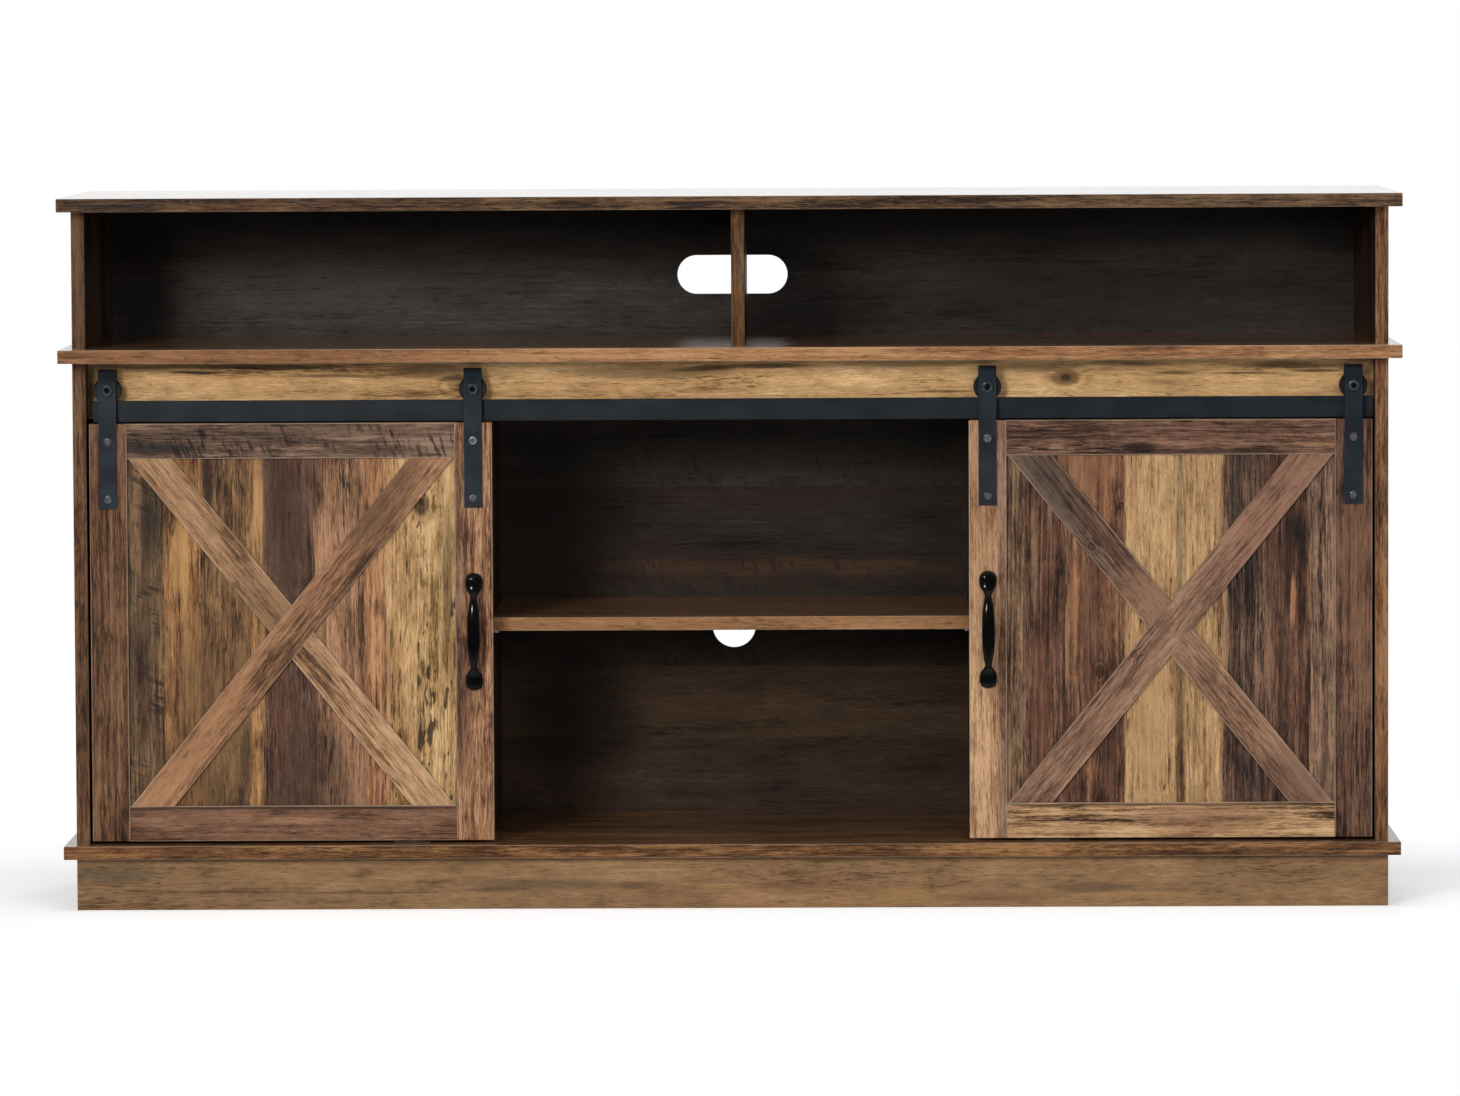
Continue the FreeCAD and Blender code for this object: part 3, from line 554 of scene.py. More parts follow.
def finish_plinth():
    """Yellow-brown plinth with an oval figure near its middle."""
    oval = [(0.062, 0.023, 0.05, 0.013, 0.3), (0.47, 0.022, 0.045, 0.011, 0.15),
            (-0.136, 0.008, 0.004, 0.0025, 0.5), (-0.489, 0.008, 0.004, 0.003, 0.4)]
    washes = [(-0.7, 0.041, 0.06, 0.012, "54503f", 0.55), (-0.2, 0.027, 0.1, 0.007, "5a4a39", 0.6),
              (-0.265, 0.021, 0.04, 0.003, "4a382a", 0.6), (-0.105, 0.026, 0.03, 0.005, "4a382a", 0.6),
              (-0.015, 0.026, 0.03, 0.003, "b08c58", 0.6), (-0.55, 0.02, 0.1, 0.002, "50392a", 0.6),
              (-0.4, 0.019, 0.1, 0.0015, "50392a", 0.6), (0.19, 0.014, 0.03, 0.009, "9a7849", 0.6),
              (0.4, 0.022, 0.05, 0.006, "4f3f30", 0.6), (0.3, 0.011, 0.07, 0.005, "6b4733", 0.5),
              (0.46, 0.012, 0.06, 0.004, "a57f52", 0.6)]
    board("plinth_front", "plinth_front_laminate", LENGTHWISE_FACE,
          [plank(0.0, "674b31", "896a4a", "a5825c", 0.55, 0.1)], 3.3, contrast=0.7,
          knots=oval, patches=washes)
    board("plinth_rear", "plinth_rear_laminate", LENGTHWISE_FACE,
          [plank(0.0, "664c32", "806345", "967553", 0.8)], 8.3)
    for number, node in enumerate(("plinth_left", "plinth_right", "plinth_centre")):
        board(node, node + "_laminate", DEPTHWISE_FACE,
              [plank(0.0, "664c32", "7d6042", "917150", 0.8)], 13.3 + 3 * number)


def finish_backs():
    """Dark printed backs with painted shade and a painted sheen, plain pressed board behind."""
    rear = ("4a3625", "6b5038")
    dark = [plank(0.0, "201812", "382b22", "4d3f31", 0.7, 0.0, 0.1),
            plank(0.16, "281e16", "3f3124", "54463a", 0.7),
            plank(0.245, "1c1612", "302720", "423830", 0.6, 0.0, 0.5),
            plank(0.37, "1e1915", "302925", "403834", 0.7),
            plank(0.455, "25201d", "39332e", "4b443f", 0.6, 0.0, 0.4)]
    upper = [plank(0.6, "252321", "403b37", "5d5751", 0.8),
             plank(0.705, "26231f", "3d3833", "57514b", 0.7)]
    # Painted shade on the upper back: darker along the top under the top panel, at the left end and low
    # in the right bay; the grey patch low in the left bay is a painted sheen.
    shade_and_sheen = [(0.45, 0.67, 0.4, 0.05, "191614", 0.7), (0.1, 0.64, 0.12, 0.03, "201b18", 0.5),
              (-0.5, 0.68, 0.16, 0.035, "4e4842", 0.5), (-0.69, 0.7, 0.05, 0.1, "171514", 0.7),
              (0.0, 0.79, 1.6, 0.085, "131110", 0.75)]
    board("upper_back_panel", "upper_back_print", LENGTHWISE_FACE, upper, 8.8, rear=rear,
          pale_edge=0.0, contrast=0.5, patches=shade_and_sheen, red=0.05, soot=0.3)
    # The two dark patches at the left of the middle bay are painted shadow from the left partition; the
    # rest are lighter and darker bands across the backs.
    for number, node in enumerate(("back_panel_left", "back_panel_centre", "back_panel_right")):
        board(node, node + "_print", LENGTHWISE_FACE, dark, 17.1 + 4 * number, rear=rear,
              pale_edge=0.0, contrast=0.5, red=0.05, soot=0.3,
              patches=[(-0.18, 0.19, 0.08, 0.08, "14110f", 0.7), (-0.2, 0.43, 0.1, 0.1, "1a1714", 0.6),
                       (0.02, 0.575, 0.3, 0.012, "4a3222", 0.6), (0.02, 0.5, 0.3, 0.03, "23221d", 0.6),
                       (0.08, 0.36, 0.25, 0.012, "4f3a28", 0.5)])


def finish_left_door():
    planks = [plank(-0.73, "2e251c", "5f4b37", "866b4c", 1.4, 0.15, 0.8, 0.55),
              plank(-0.6375, "5c3b25", "8d6540", "bb8c5a", 1.3, 0.1, 0.0, 0.1),
              plank(-0.597, "4a3323", "7b5b3d", "a17b52", 1.0, 0.3, 0.0, 0.35),
              plank(-0.541, "5c3f29", "8b6642", "b98c5c", 1.1, 0.2),
              plank(-0.5255, "33231b", "5a4133", "806150", 1.2, 0.05, 0.2, 0.2),
              plank(-0.468, "523927", "886449", "b48868", 1.1),
              plank(-0.412, "5c3d29", "97694a", "be8f64", 1.1),
              plank(-0.385, "83603a", "b58e60", "d2ad7c", 0.8, 0.05),
              plank(-0.352, "72552f", "ae8a5c", "d2af7f", 1.0, 1.0)]
    washes = [(0.13, -0.47, 0.1, 0.05, "3f2e26", 0.6), (0.44, -0.5, 0.1, 0.025, "3c2b24", 0.7),
              (0.19, -0.6, 0.15, 0.04, "644a31", 0.6), (0.49, -0.587, 0.05, 0.006, "2b231f", 0.85),
              (0.35, -0.318, 0.1, 0.006, "4b3a27", 0.6), (0.452, -0.347, 0.014, 0.012, "3a2b1d", 0.6),
              (0.46, -0.531, 0.06, 0.006, "c39663", 0.8), (0.4, -0.62, 0.06, 0.012, "b98d5a", 0.6),
              (0.44, -0.652, 0.05, 0.012, "24211e", 0.7), (0.45, -0.398, 0.08, 0.01, "b1835a", 0.6),
              (0.17, -0.545, 0.04, 0.008, "33271c", 0.6)]
    board("left_door_panel", "left_door_planks", UPRIGHT_FACE, planks, 6.4, cracks=1.0,
          knots=[(0.4575, -0.347, 0.02, 0.012, 1.0)], patches=washes)
    board("left_door_stile_outer", "left_outer_stile_print", UPRIGHT_FACE,
          [plank(-0.8, "46301f", "6a4a35", "856347", 1.2)], 9.5, contrast=1.15)
    board("left_door_stile_inner", "left_inner_stile_print", UPRIGHT_FACE,
          [plank(-0.8, "66422e", "956c4e", "be9470", 1.1)], 2.2, contrast=1.2,
          patches=[(0.22, -0.3, 0.08, 0.01, "634233", 0.6),
                   (0.36, -0.307, 0.2, 0.005, "6b5646", 0.6)])
    board("left_door_top_trim", "left_top_trim_print", LENGTHWISE_FACE,
          [plank(0.4, "382922", "715747", "9a7e68", 1.1, 0.1, 1.0, 0.3)], 3.9,
          cracks=1.0, patches=[(-0.645, 0.519, 0.05, 0.007, "262220", 0.85),
                               (-0.4, 0.518, 0.06, 0.006, "30251e", 0.6),
                               (-0.45, 0.54, 0.12, 0.006, "7d604c", 0.5)])
    board("left_door_bottom_trim", "left_bottom_trim_print", LENGTHWISE_FACE,
          [plank(0.0, "563a2b", "7a5742", "94705a")], 7.1, contrast=0.9,
          patches=[(-0.497, 0.099, 0.05, 0.005, "a9815a", 0.6),
                   (-0.5, 0.1145, 0.3, 0.003, "32231a", 0.8)])
    finish_braces("left", 12.0,
                  long=(("5c3f2d", "8e664a", "b58a66"), [],
                        [(-0.385, 0.46, 0.07, 0.02, "573f31", 0.6),
                         (-0.62, 0.18, 0.16, 0.03, "ab7e59", 0.6)]),
                  upper=(("694b33", "997454", "b5916c"), [], [(-0.51, 0.33, 0.06, 0.03, "8a684c", 0.6)]),
                  lower=(("73533a", "aa8260", "c9a17a"), [], []))


def finish_right_door():
    planks = [plank(0.2, "38281d", "694f3c", "967859", 1.4, 0.4, 0.0, 0.1),
              plank(0.33, "33211a", "5d4031", "8a644c", 1.3, 0.2, 0.0, 0.3),
              plank(0.376, "432b20", "704d3a", "a57a57", 1.3, 0.1, 0.0, 0.2),
              plank(0.443, "825f3f", "b08a60", "cda779", 0.9, 0.1, 0.1),
              plank(0.4975, "5f462e", "836747", "a08361", 1.1),
              plank(0.508, "83613f", "ab875e", "cca679", 0.9),
              plank(0.552, "2a201a", "574237", "8f6e57", 1.6, 0.1, 0.0, 0.45),
              plank(0.597, "2f2019", "583e31", "84644d", 1.2, 0.15, 0.0, 0.25),
              plank(0.65, "402f24", "745848", "a07f62", 1.4, 0.2)]
    washes = [(0.49, 0.4, 0.07, 0.03, "8f6346", 0.6), (0.355, 0.384, 0.05, 0.005, "a9744e", 0.55),
              (0.345, 0.63, 0.03, 0.004, "b98560", 0.8), (0.42, 0.636, 0.025, 0.014, "2b221e", 0.75),
              (0.22, 0.345, 0.12, 0.012, "6f4a3a", 0.5), (0.2, 0.47, 0.09, 0.02, "a98458", 0.5),
              (0.31, 0.405, 0.11, 0.014, "473128", 0.6), (0.31, 0.5555, 0.07, 0.004, "b88f68", 0.8),
              (0.38, 0.341, 0.07, 0.004, "8e6f54", 0.7), (0.2, 0.425, 0.07, 0.01, "4d352b", 0.5)]
    board("right_door_panel", "right_door_planks", UPRIGHT_FACE, planks, 14.9, cracks=0.9,
          knots=[(0.264, 0.414, 0.011, 0.007, 0.9), (0.325, 0.413, 0.005, 0.003, 0.7),
                 (0.45, 0.438, 0.008, 0.005, 0.8)], patches=washes)
    board("right_door_stile_inner", "right_inner_stile_print", UPRIGHT_FACE,
          [plank(0.2, "835e40", "ad8561", "cda580", 1.1, 0.15),
           plank(0.2985, "5e4233", "866652", "a5846d", 0.7)], 5.8,
          contrast=1.2, patches=[(0.44, 0.28, 0.12, 0.02, "8d6448", 0.4)])
    board("right_door_stile_outer", "right_outer_stile_print", UPRIGHT_FACE,
          [plank(0.2, "3d291f", "604436", "80604a", 1.2)], 8.3, contrast=1.3,
          patches=[(0.4, 0.7, 0.12, 0.03, "855e48", 0.5)])
    board("right_door_top_trim", "right_top_trim_print", LENGTHWISE_FACE,
          [plank(0.4, "422c21", "725241", "9a745b", 1.1, 0.0, 0.3, 0.1)], 6.6,
          cracks=1.0, patches=[(0.46, 0.515, 0.022, 0.007, "1c1512", 0.9),
                               (0.56, 0.512, 0.1, 0.004, "33261f", 0.7),
                               (0.64, 0.516, 0.04, 0.008, "9c7558", 0.5)])
    board("right_door_bottom_trim", "right_bottom_trim_print", LENGTHWISE_FACE,
          [plank(0.0, "7d5a3c", "b38b63", "d6b084", 0.9),
           plank(0.094, "4b3421", "a37d59", "d0aa80", 1.7)], 1.7,
          cracks=0.9, patches=[(0.5, 0.1145, 0.3, 0.002, "32241a", 0.8),
                               (0.53, 0.1, 0.08, 0.016, "8a6248", 0.6)])
    finish_braces("right", 19.0,
                  long=(("543a2f", "7f5f4c", "a68168"), [(0.452, 0.284, 0.007, 0.006, 0.6)],
                        [(0.61, 0.45, 0.12, 0.03, "966f5a", 0.7)]),
                  upper=(("45342d", "6e594a", "927967"), [(0.405, 0.405, 0.008, 0.006, 0.7)],
                         [(0.345, 0.48, 0.08, 0.03, "5d5047", 0.6),
                          (0.46, 0.34, 0.06, 0.04, "956e56", 0.8)]),
                  lower=(("5d4034", "88664f", "a9826a"), [], [(0.64, 0.14, 0.05, 0.03, "735646", 0.6)]))


# What the upright cut of its ends adds to the length of a long brace.
BRACE_END = 49 * MM


def finish_braces(side, seed, **looks):
    """Braces with their grain along them; knots and washes are given by their x and z."""
    low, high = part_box(side + "_door_brace_long")
    slope = math.atan2(high[2] - low[2], high[0] - low[0] - BRACE_END)
    rise = (math.cos(slope), 0, math.sin(slope))
    fall = (math.cos(slope), 0, -math.sin(slope))
    rising = Grain(rise, (-rise[2], 0, rise[0]), (0, 1, 0))
    falling = Grain(fall, (-fall[2], 0, fall[0]), (0, 1, 0))

    def along_grain(grain, marks):
        return [tuple(Vector((x, 0, z)).dot(axis) for axis in grain.axes[:2]) + tuple(rest)
                for x, z, *rest in marks]

    for number, (piece, grain) in enumerate((("long", rising), ("upper", falling), ("lower", falling))):
        tones, knots, washes = looks[piece]
        node = side + "_door_brace_" + piece
        board(node, node + "_print", grain, [plank(-2.0, *tones, 1.0, 0.05)], seed + 2.3 * number,
              pale_edge=0.8, knots=along_grain(grain, knots), patches=along_grain(grain, washes))


def finish_hardware():
    rail = painted_steel("slate_powder_coat", "131a1f", "1c2328", 0.5)
    strap = painted_steel("strap_powder_coat", "181f26", "232b32", 0.46)
    bolt = black_oxide("black_oxide", "34383b", "6a6e70")
    zinc = zinc_plate("zinc_plate")
    nylon = moulded_plastic("black_nylon", "141516", "232526", 0.5)
    guide = moulded_plastic("brown_guide_plastic", "2f2620", "46392f", 0.55)
    for node in ("rail", "rail_spacers"):
        dress(node, rail)
    for node in ("cam_locks", "carcass_screws", "back_nails"):
        dress(node, zinc)
    # The shelf pins are pale plated metal, drawn near white and not metallic: a painted glint, so they
    # show bright in the shade under the shelf.
    dress("shelf_pins", zinc_plate("bright_nickel", "e2e2e0", "f8f8f6", 0.0))
    dress("rail_bolts", bolt)
    dress("floor_guides", guide)
    for door in DOORS:
        dress(door + "_hangers", strap)
        dress(door + "_screws", bolt)
        wheels = [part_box(door + side) for side in ("_inner_wheel", "_outer_wheel")]
        centres = [((low[0] + high[0]) / 2, (low[2] + high[2]) / 2) for low, high in wheels]
        # Dark axle sockets: grime and painted shade in the hollow.
        dress(door + "_wheel_axles", black_oxide(door + "_axle_oxide", "3c4043", "6a6e70", centres,
                                                 2.9 * MM, metal=0.5))
        dress(door + "_inner_wheel", nylon)
        dress(door + "_outer_wheel", nylon)


# ---------------------------------------- pulls
# Half of the pull from its middle to its foot, in mm: height, half width, front and rear.
PULL_SECTIONS = ((0, 7.3, 28.0, 19.6), (14, 7.1, 27.4, 19.0), (24, 6.2, 25.6, 17.6),
                 (33, 4.9, 22.4, 14.6), (39.5, 3.9, 18.4, 9.4), (43.5, 5.8, 15.0, 2.0),
                 (47.5, 8.7, 12.2, -4.0), (52, 9.9, 10.6, -8.0), (56, 10.1, 10.2, -9.0))
PULL_SHOULDER, PULL_TIP = 56.0, 66.4
PULL_FOOT = 11.4 * MM
PULL_STEPS, PULL_SIDES = 140, 40
SQUARING, SQUARE_FROM, SQUARE_OVER = 0.25, 41.0, 12.0


def pull_section(height):
    """Half width, front and rear of the pull at a height from its middle, all in mm."""
    if height >= PULL_SHOULDER:
        closing = (height - PULL_SHOULDER) / (PULL_TIP - PULL_SHOULDER)
        shrink = max(0.0, 1 - closing ** 2.4) ** (1 / 2.2)
        width, front, rear = PULL_SECTIONS[-1][1:]
        return width * shrink, front * shrink, rear
    rows = (PULL_SECTIONS[1],) + PULL_SECTIONS + (PULL_SECTIONS[-1],)
    rows = ((-rows[0][0],) + rows[0][1:],) + rows[1:-1] + ((PULL_TIP,) + rows[-1][1:],)
    at = max(i for i in range(1, len(rows) - 2) if rows[i][0] <= height)
    before, first, second, after = rows[at - 1:at + 3]
    span = second[0] - first[0]
    t = (height - first[0]) / span
    found = []
    for i in (1, 2, 3):
        leave = (second[i] - before[i]) / (second[0] - before[0]) * span
        arrive = (after[i] - first[i]) / (after[0] - first[0]) * span
        found.append(first[i] * (2 * t ** 3 - 3 * t * t + 1) + leave * (t ** 3 - 2 * t * t + t)
                     + second[i] * (3 * t * t - 2 * t ** 3) + arrive * (t ** 3 - t * t))
    return found


def make_pull(door):
    """Bow pull cast in one piece: a swelling grip, thin necks and square-shouldered feet."""
    low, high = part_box(door + "_handle")
    x, z = (low[0] + high[0]) / 2, (low[2] + high[2]) / 2
    face = high[1]
    mesh = bmesh.new()
    rings = []
    for i in range(1, PULL_STEPS):
        height = PULL_TIP * math.sin(math.pi * (i / PULL_STEPS - 0.5))
        width, front, rear = pull_section(abs(height))
        middle, depth = (front + rear) / 2, (front - rear) / 2
        power = 1.0 - SQUARING * min(1.0, max(0.0, abs(height) - SQUARE_FROM) / SQUARE_OVER)
        ring = []
        for j in range(PULL_SIDES):
            angle = 2 * math.pi * j / PULL_SIDES
            out, aside = [math.copysign(abs(part) ** power, part)
                          for part in (math.sin(angle), math.cos(angle))]
            ring.append(mesh.verts.new((x + aside * width * MM, face - (middle + out * depth) * MM,
                                        z + height * MM)))
        rings.append(ring)
    for first, second in zip(rings, rings[1:]):
        for i in range(PULL_SIDES):
            j = (i + 1) % PULL_SIDES
            mesh.faces.new((first[i], first[j], second[j], second[i]))
    mesh.faces.new(rings[0][::-1])
    mesh.faces.new(rings[-1])
    bmesh.ops.recalc_face_normals(mesh, faces=mesh.faces)
    piece = new_piece(door + "_pull", mesh)
    cut_behind(piece, face)
    smooth_faces(piece, 60)
    return piece


def new_piece(name, mesh):
    data = bpy.data.meshes.new(name)
    mesh.to_mesh(data)
    mesh.free()
    piece = bpy.data.objects.new(name, data)
    bpy.context.scene.collection.objects.link(piece)
    return piece


def apply_modifiers(piece):
    """Turn what the modifiers make into the piece's own mesh."""
    bpy.context.view_layer.update()
    graph = bpy.context.evaluated_depsgraph_get()
    made = bpy.data.meshes.new_from_object(piece.evaluated_get(graph))
    piece.modifiers.clear()
    piece.data = made


def cut_behind(piece, face):
    """Trim off what would lie inside the door, and close the cut."""
    mesh = bmesh.new()
    mesh.from_mesh(piece.data)
    everything = mesh.verts[:] + mesh.edges[:] + mesh.faces[:]
    cut = bmesh.ops.bisect_plane(mesh, geom=everything, plane_co=(0, face, 0), plane_no=(0, 1, 0),
                                 clear_outer=True)
    bmesh.ops.holes_fill(mesh, edges=[e for e in cut["geom_cut"] if isinstance(e, bmesh.types.BMEdge)])
    mesh.to_mesh(piece.data)
    mesh.free()


def bevelled_copy(node, name, width):
    """Copy of a CAD node with its sharp edges rounded."""
    mesh = bmesh.new()
    mesh.from_mesh(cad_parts[node].data)
    bmesh.ops.remove_doubles(mesh, verts=mesh.verts, dist=0.005 * MM)
    bmesh.ops.dissolve_limit(mesh, angle_limit=math.radians(1.0), verts=mesh.verts, edges=mesh.edges)
    piece = new_piece(name, mesh)
    bevel = piece.modifiers.new("rounded", "BEVEL")
    bevel.width = width
    bevel.segments = 3
    bevel.limit_method = "ANGLE"
    bevel.angle_limit = math.radians(40)
    apply_modifiers(piece)
    smooth_faces(piece, 35)
    level = piece.modifiers.new("flat_faces_stay_flat", "WEIGHTED_NORMAL")
    level.weight = 100
    level.keep_sharp = True
    apply_modifiers(piece)
    return piece


def smooth_faces(piece, angle=180):
    """Shade a piece smooth, with creases kept where faces meet at more than an angle."""
    for polygon in piece.data.polygons:
        polygon.use_smooth = True
    piece.data.set_sharp_from_angle(angle=math.radians(angle))


# ---------------------------------------- screws
SCREW_SIDES = 48
CROWN_RINGS = 6
STRAP_HALF_WIDTH = 10 * MM
STRAP_SCREW_DROPS = (20 * MM, 85 * MM)
PULL_SCREW_BITE = 7 * MM
RIM_HEIGHT, CROWN_WIDTH = 0.22, 0.38
LOOKS_FORWARDS, LOOKS_BACK = math.pi / 2, -math.pi / 2


def button_screws():
    """Button-head screws with a hexagon socket, each turned its own way."""
    form = Form("button_screws", {"Head Radius": 4.75 * MM, "Head Height": 2.6 * MM,
                                  "Socket Width": 4.6 * MM, "Socket Depth": 1.5 * MM,
                                  "Shank Radius": 2.2 * MM, "Shank Length": 17 * MM,
                                  "Tilt": LOOKS_FORWARDS})
    size = form.given
    shank = form.node("GeometryNodeMeshCylinder", {"fill_type": "NGON"},
                      {"Vertices": SCREW_SIDES, "Radius": size["Shank Radius"],
                       "Depth": size["Shank Length"]})
    top = form.other(shank, "Top")
    sunk = form.vector(0.0, 0.0, size["Shank Length"] * -0.5)
    shape = form.node("GeometryNodeSetPosition", None, {"Geometry": shank, "Offset": sunk})

    def step(shape, top, rise, spread):
        """Push the top faces out by a rise, then widen or narrow them."""
        pushed = form.node("GeometryNodeExtrudeMesh", {"mode": "FACES"},
                           {"Mesh": shape, "Selection": top, "Offset Scale": rise, "Individual": False})
        top = form.other(pushed, "Top")
        scaled = form.node("GeometryNodeScaleElements", {"domain": "FACE"},
                           {"Geometry": pushed, "Selection": top, "Scale": spread})
        return scaled, top

    shape, top = step(shape, top, 0.0, size["Head Radius"] / size["Shank Radius"])
    shape, top = step(shape, top, size["Head Height"] * RIM_HEIGHT, 1.0)
    width, rise = 1.0, 0.0
    for ring in range(1, CROWN_RINGS + 1):
        angle = math.radians(90 * ring / CROWN_RINGS)
        next_width = 1 - CROWN_WIDTH + CROWN_WIDTH * math.cos(angle)
        next_rise = (1 - RIM_HEIGHT) * math.sin(angle)
        shape, top = step(shape, top, size["Head Height"] * (next_rise - rise), next_width / width)
        width, rise = next_width, next_rise
    shape, top = step(shape, top, 0.0, 1.0)
    x, y, z = form.parts(form.node("GeometryNodeInputPosition"))
    angle = form.math("ARCTAN2", y, x)
    sector = form.math("FLOORED_MODULO", angle, math.pi / 3) - math.pi / 6
    spread = size["Socket Width"] * 0.5 / form.math("COSINE", sector) / (x * x + y * y).root()
    hexagon = form.vector(x * spread, y * spread, z)
    shape = form.node("GeometryNodeSetPosition", None,
                      {"Geometry": shape, "Selection": top, "Position": hexagon})
    shape, top = step(shape, top, size["Socket Depth"] * -1.0, 1.0)
    turn = form.node("FunctionNodeRandomValue", {"data_type": "FLOAT"},
                     {2: 0.0, 3: math.pi / 3, 8: 7}, 1)
    facing = form.node("FunctionNodeEulerToRotation", None,
                       {"Euler": form.vector(size["Tilt"], turn, 0.0)})
    form.close(form.node("GeometryNodeInstanceOnPoints", None,
                         {"Points": size["Geometry"], "Instance": shape, "Rotation": facing}))
    return form


def screw_places(door):
    """Where the screws go: (x, z) through the straps, and behind the pull."""
    low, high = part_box(door + "_hangers")
    door_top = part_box(door + "_panel")[1][2]
    straps = [(x, door_top - drop) for x in (low[0] + STRAP_HALF_WIDTH, high[0] - STRAP_HALF_WIDTH)
              for drop in STRAP_SCREW_DROPS]
    low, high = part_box(door + "_handle")
    return straps, [((low[0] + high[0]) / 2, z) for z in (low[2] + PULL_FOOT, high[2] - PULL_FOOT)]


def make_screws(door, form, finish):
    """Screws through the straps, and those that hold the pull from behind."""
    straps, pulls = screw_places(door)
    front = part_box(door + "_hangers")[0][1]
    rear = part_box(door + "_panel")[1][1]
    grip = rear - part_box(door + "_handle")[1][1]
    made = (form.run("strap_screws", [(x, front, z) for x, z in straps], Finish=finish),
            form.run("pull_screws", [(x, rear, z) for x, z in pulls], Finish=finish,
                     Head_Radius=4 * MM, Head_Height=2 * MM, Socket_Width=4 * MM, Socket_Depth=1.1 * MM,
                     Shank_Radius=2 * MM, Shank_Length=grip + PULL_SCREW_BITE, Tilt=LOOKS_BACK))
    mesh = bmesh.new()
    for part in made:
        mesh.from_mesh(part.data)
        bpy.data.objects.remove(part)
    screws = new_piece(door + "_button_screws", mesh)
    smooth_faces(screws, 35)
    return screws


def swap_in(piece, material, node, rider):
    """Put a piece in the place of a CAD node."""
    piece.data.materials.clear()
    piece.data.materials.append(material)
    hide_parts(node)
    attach(piece, rider)


def dress_doors():
    """Cast pulls, rounded straps and button screws in place of the plain solids."""
    gloss = painted_steel("gloss_black_casting", "050506", "0b0b0c", 0.17, specular=0.3)
    strap = painted_steel("bent_strap_powder_coat", "181f26", "232b32", 0.44)
    screw_form = button_screws()
    for door in DOORS:
        places = sum(screw_places(door), [])
        # The screw sockets get a pale floor: a painted glint at each screw's centre.
        oxide = black_oxide(door + "_screw_oxide", "4e5154", "aeb1b3", places, floor="6c6f72", metal=0.4)
        swap_in(make_pull(door), gloss, door + "_handle", door)
        swap_in(bevelled_copy(door + "_hangers", door + "_bent_straps", 0.45 * MM), strap,
                door + "_hangers", door)
        swap_in(make_screws(door, screw_form, oxide), oxide, door + "_screws", door)
    rail = painted_steel("eased_rail_powder_coat", "131a1f", "1c2328", 0.48)
    swap_in(bevelled_copy("rail", "eased_rail", 0.5 * MM), rail, "rail", "carcass")


# ---------------------------------------- stage, lamps and camera
def make_stage():
    """White floor that keeps a soft shadow near the stand and fades into the surround."""
    mesh = bmesh.new()
    bmesh.ops.create_circle(mesh, cap_ends=True, segments=96, radius=2.4)
    floor = new_piece("studio_floor", mesh)
    net = Finish("white_floor")
    beside = (abs(net.x) - 0.75).most(0.0)
    before = (abs(net.y) - 0.2).most(0.0)
    far = (beside * beside + before * before).root().ease(-0.05, 0.5)
    camera = net.ray("Camera")
    mirrored = net.ray("Glossy") * net.y.ease(0.0, 0.3)
    dim = net.ray("Glossy") * far * net.y.ease(0.0, -0.3)
    pale = net.mix(dim, (0.86, 0.86, 0.86, 1), (0.05, 0.05, 0.05, 1))
    matte = net.node("ShaderNodeBsdfDiffuse", None, {"Color": pale})
    lift = net.node("ShaderNodeEmission", None, {"Color": (1, 1, 1, 1), "Strength": camera * 0.52})
    lifted = net.node("ShaderNodeAddShader", None, {0: matte, 1: lift})
    glow = net.node("ShaderNodeEmission", None, {"Color": (1, 1, 1, 1), "Strength": 1.0})
    blend = net.node("ShaderNodeMixShader", None, {0: far * camera.most(mirrored), 1: lifted, 2: glow})
    net.node("ShaderNodeOutputMaterial", None, {"Surface": blend})
    floor.data.materials.append(net.material)


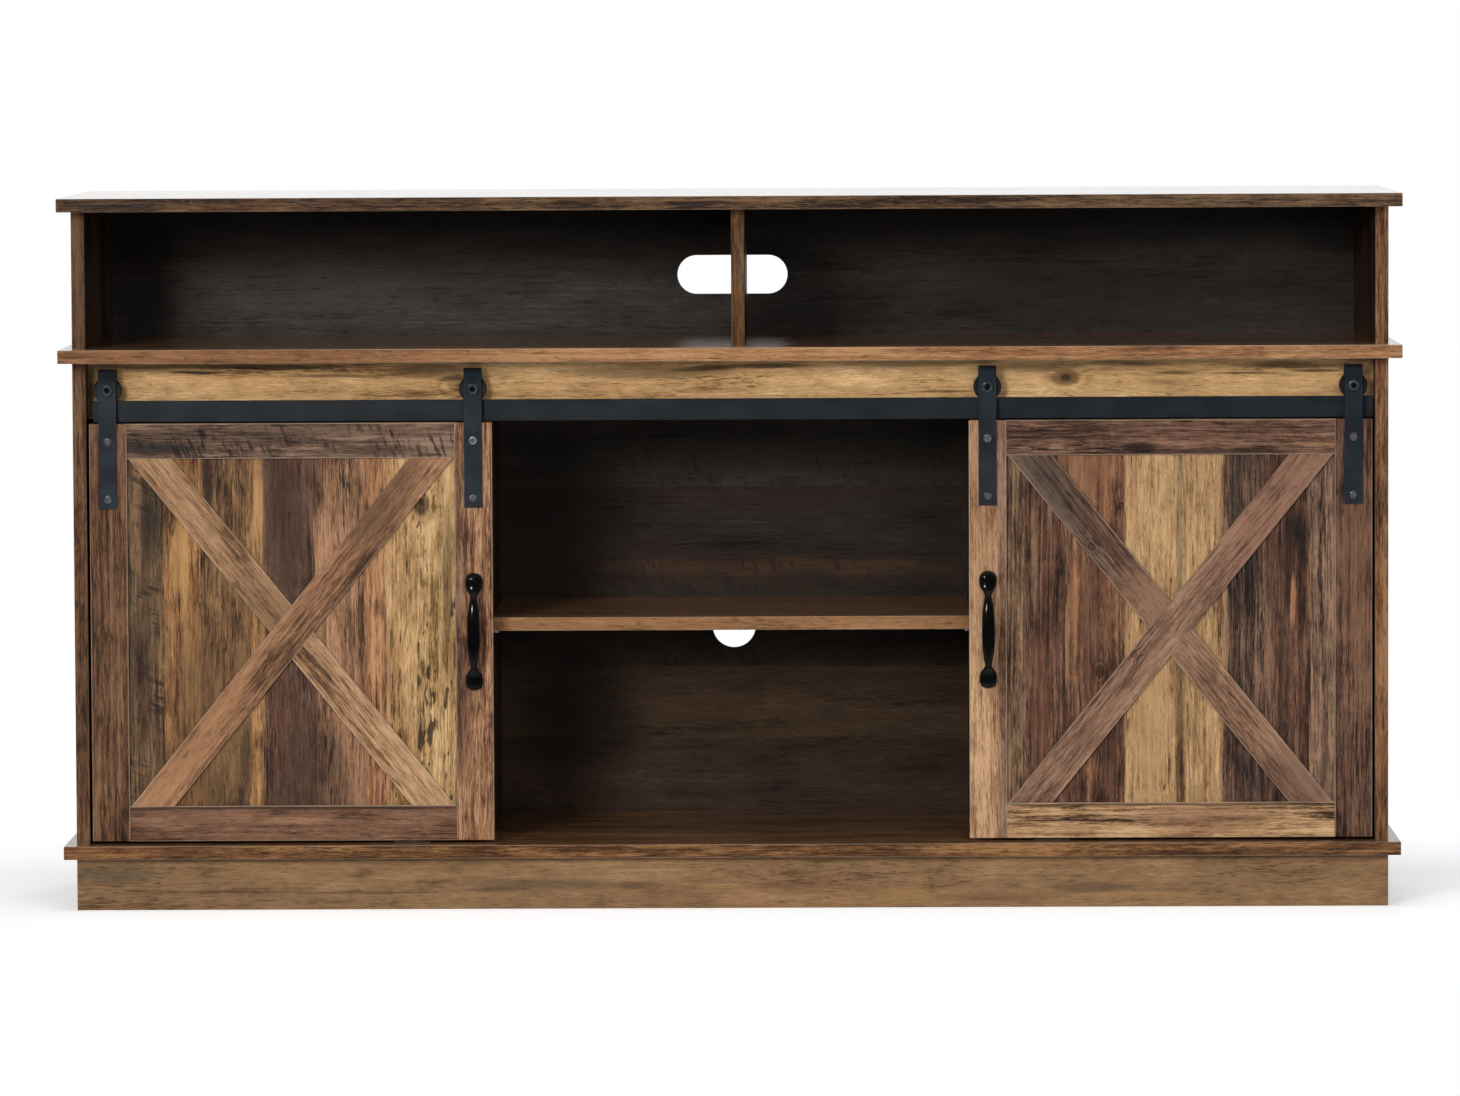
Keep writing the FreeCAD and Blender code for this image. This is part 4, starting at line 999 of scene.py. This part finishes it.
def make_surround():
    """White to the camera and behind the stand in reflections; a soft grey fill otherwise."""
    net = Finish("white_studio", world=True)
    bpy.context.scene.world = net.material
    seen = net.ray("Camera")
    mirrored = net.ray("Glossy").most(net.ray("Transmission"))
    backdrop = (net.y + net.z * 0.3).ease(-0.3, 0.3)
    strength = seen.most(mirrored * (backdrop * 0.94 + 0.06)).most((mirrored - 1.0) * -0.09)
    glow = net.node("ShaderNodeBackground", None, {"Color": (1, 1, 1, 1), "Strength": strength})
    net.node("ShaderNodeOutputWorld", None, {"Surface": glow})


def make_lamp(name, place, target, size, power, lights=True, mirrored=False):
    """Soft square lamp that faces a target and lights the piece, shows in reflections, or both."""
    data = bpy.data.lights.new(name, "AREA")
    data.size = size
    data.energy = power
    lamp = bpy.data.objects.new(name, data)
    lamp.location = place
    lamp.rotation_euler = (Vector(target) - Vector(place)).to_track_quat("-Z", "Y").to_euler()
    lamp.visible_diffuse = lights
    lamp.visible_glossy = mirrored
    bpy.context.scene.collection.objects.link(lamp)


def make_camera():
    """Long lens, a little above the top and right of the middle."""
    place = Vector((0.096, -9.1676, 1.0028))
    turn, dip, roll = 0.01073, 0.0662, 0.0049
    ahead = Vector((-math.sin(turn) * math.cos(dip), math.cos(turn) * math.cos(dip), -math.sin(dip)))
    right = Vector((math.cos(turn), math.sin(turn), 0))
    down = ahead.cross(right)
    across = math.cos(roll) * right + math.sin(roll) * down
    up = math.sin(roll) * right - math.cos(roll) * down
    data = bpy.data.cameras.new("camera")
    data.sensor_width = 36.0
    data.lens = 198.5
    data.clip_end = 60.0
    camera = bpy.data.objects.new("camera", data)
    turned = Matrix((across, up, -ahead)).transposed().to_4x4()
    camera.matrix_world = Matrix.Translation(place) @ turned
    bpy.context.scene.collection.objects.link(camera)
    bpy.context.scene.camera = camera


finish_carcass()
finish_header()
finish_plinth()
finish_backs()
finish_left_door()
finish_right_door()
finish_hardware()
dress_doors()
make_stage()
make_surround()
make_lamp("key", (-2.4, -6.6, 1.9), (0, -0.1, 0.4), 1.5, 280.0)
make_lamp("front_fill", (1.2, -3.8, 1.2), (0.1, 0, 0.4), 1.4, 36.0)
make_lamp("overhead", (0.0, -0.6, 3.2), (0, 0, 0.4), 1.6, 30.0)
make_lamp("rear_fill", (0.5, 3.8, 1.4), (0, 0, 0.4), 1.4, 55.0)
make_lamp("glint", (-1.5, -3.2, 2.3), (0, -0.1, 0.4), 0.6, 62.0, lights=False, mirrored=True)
make_camera()
bpy.context.scene.view_settings.view_transform = "Standard"
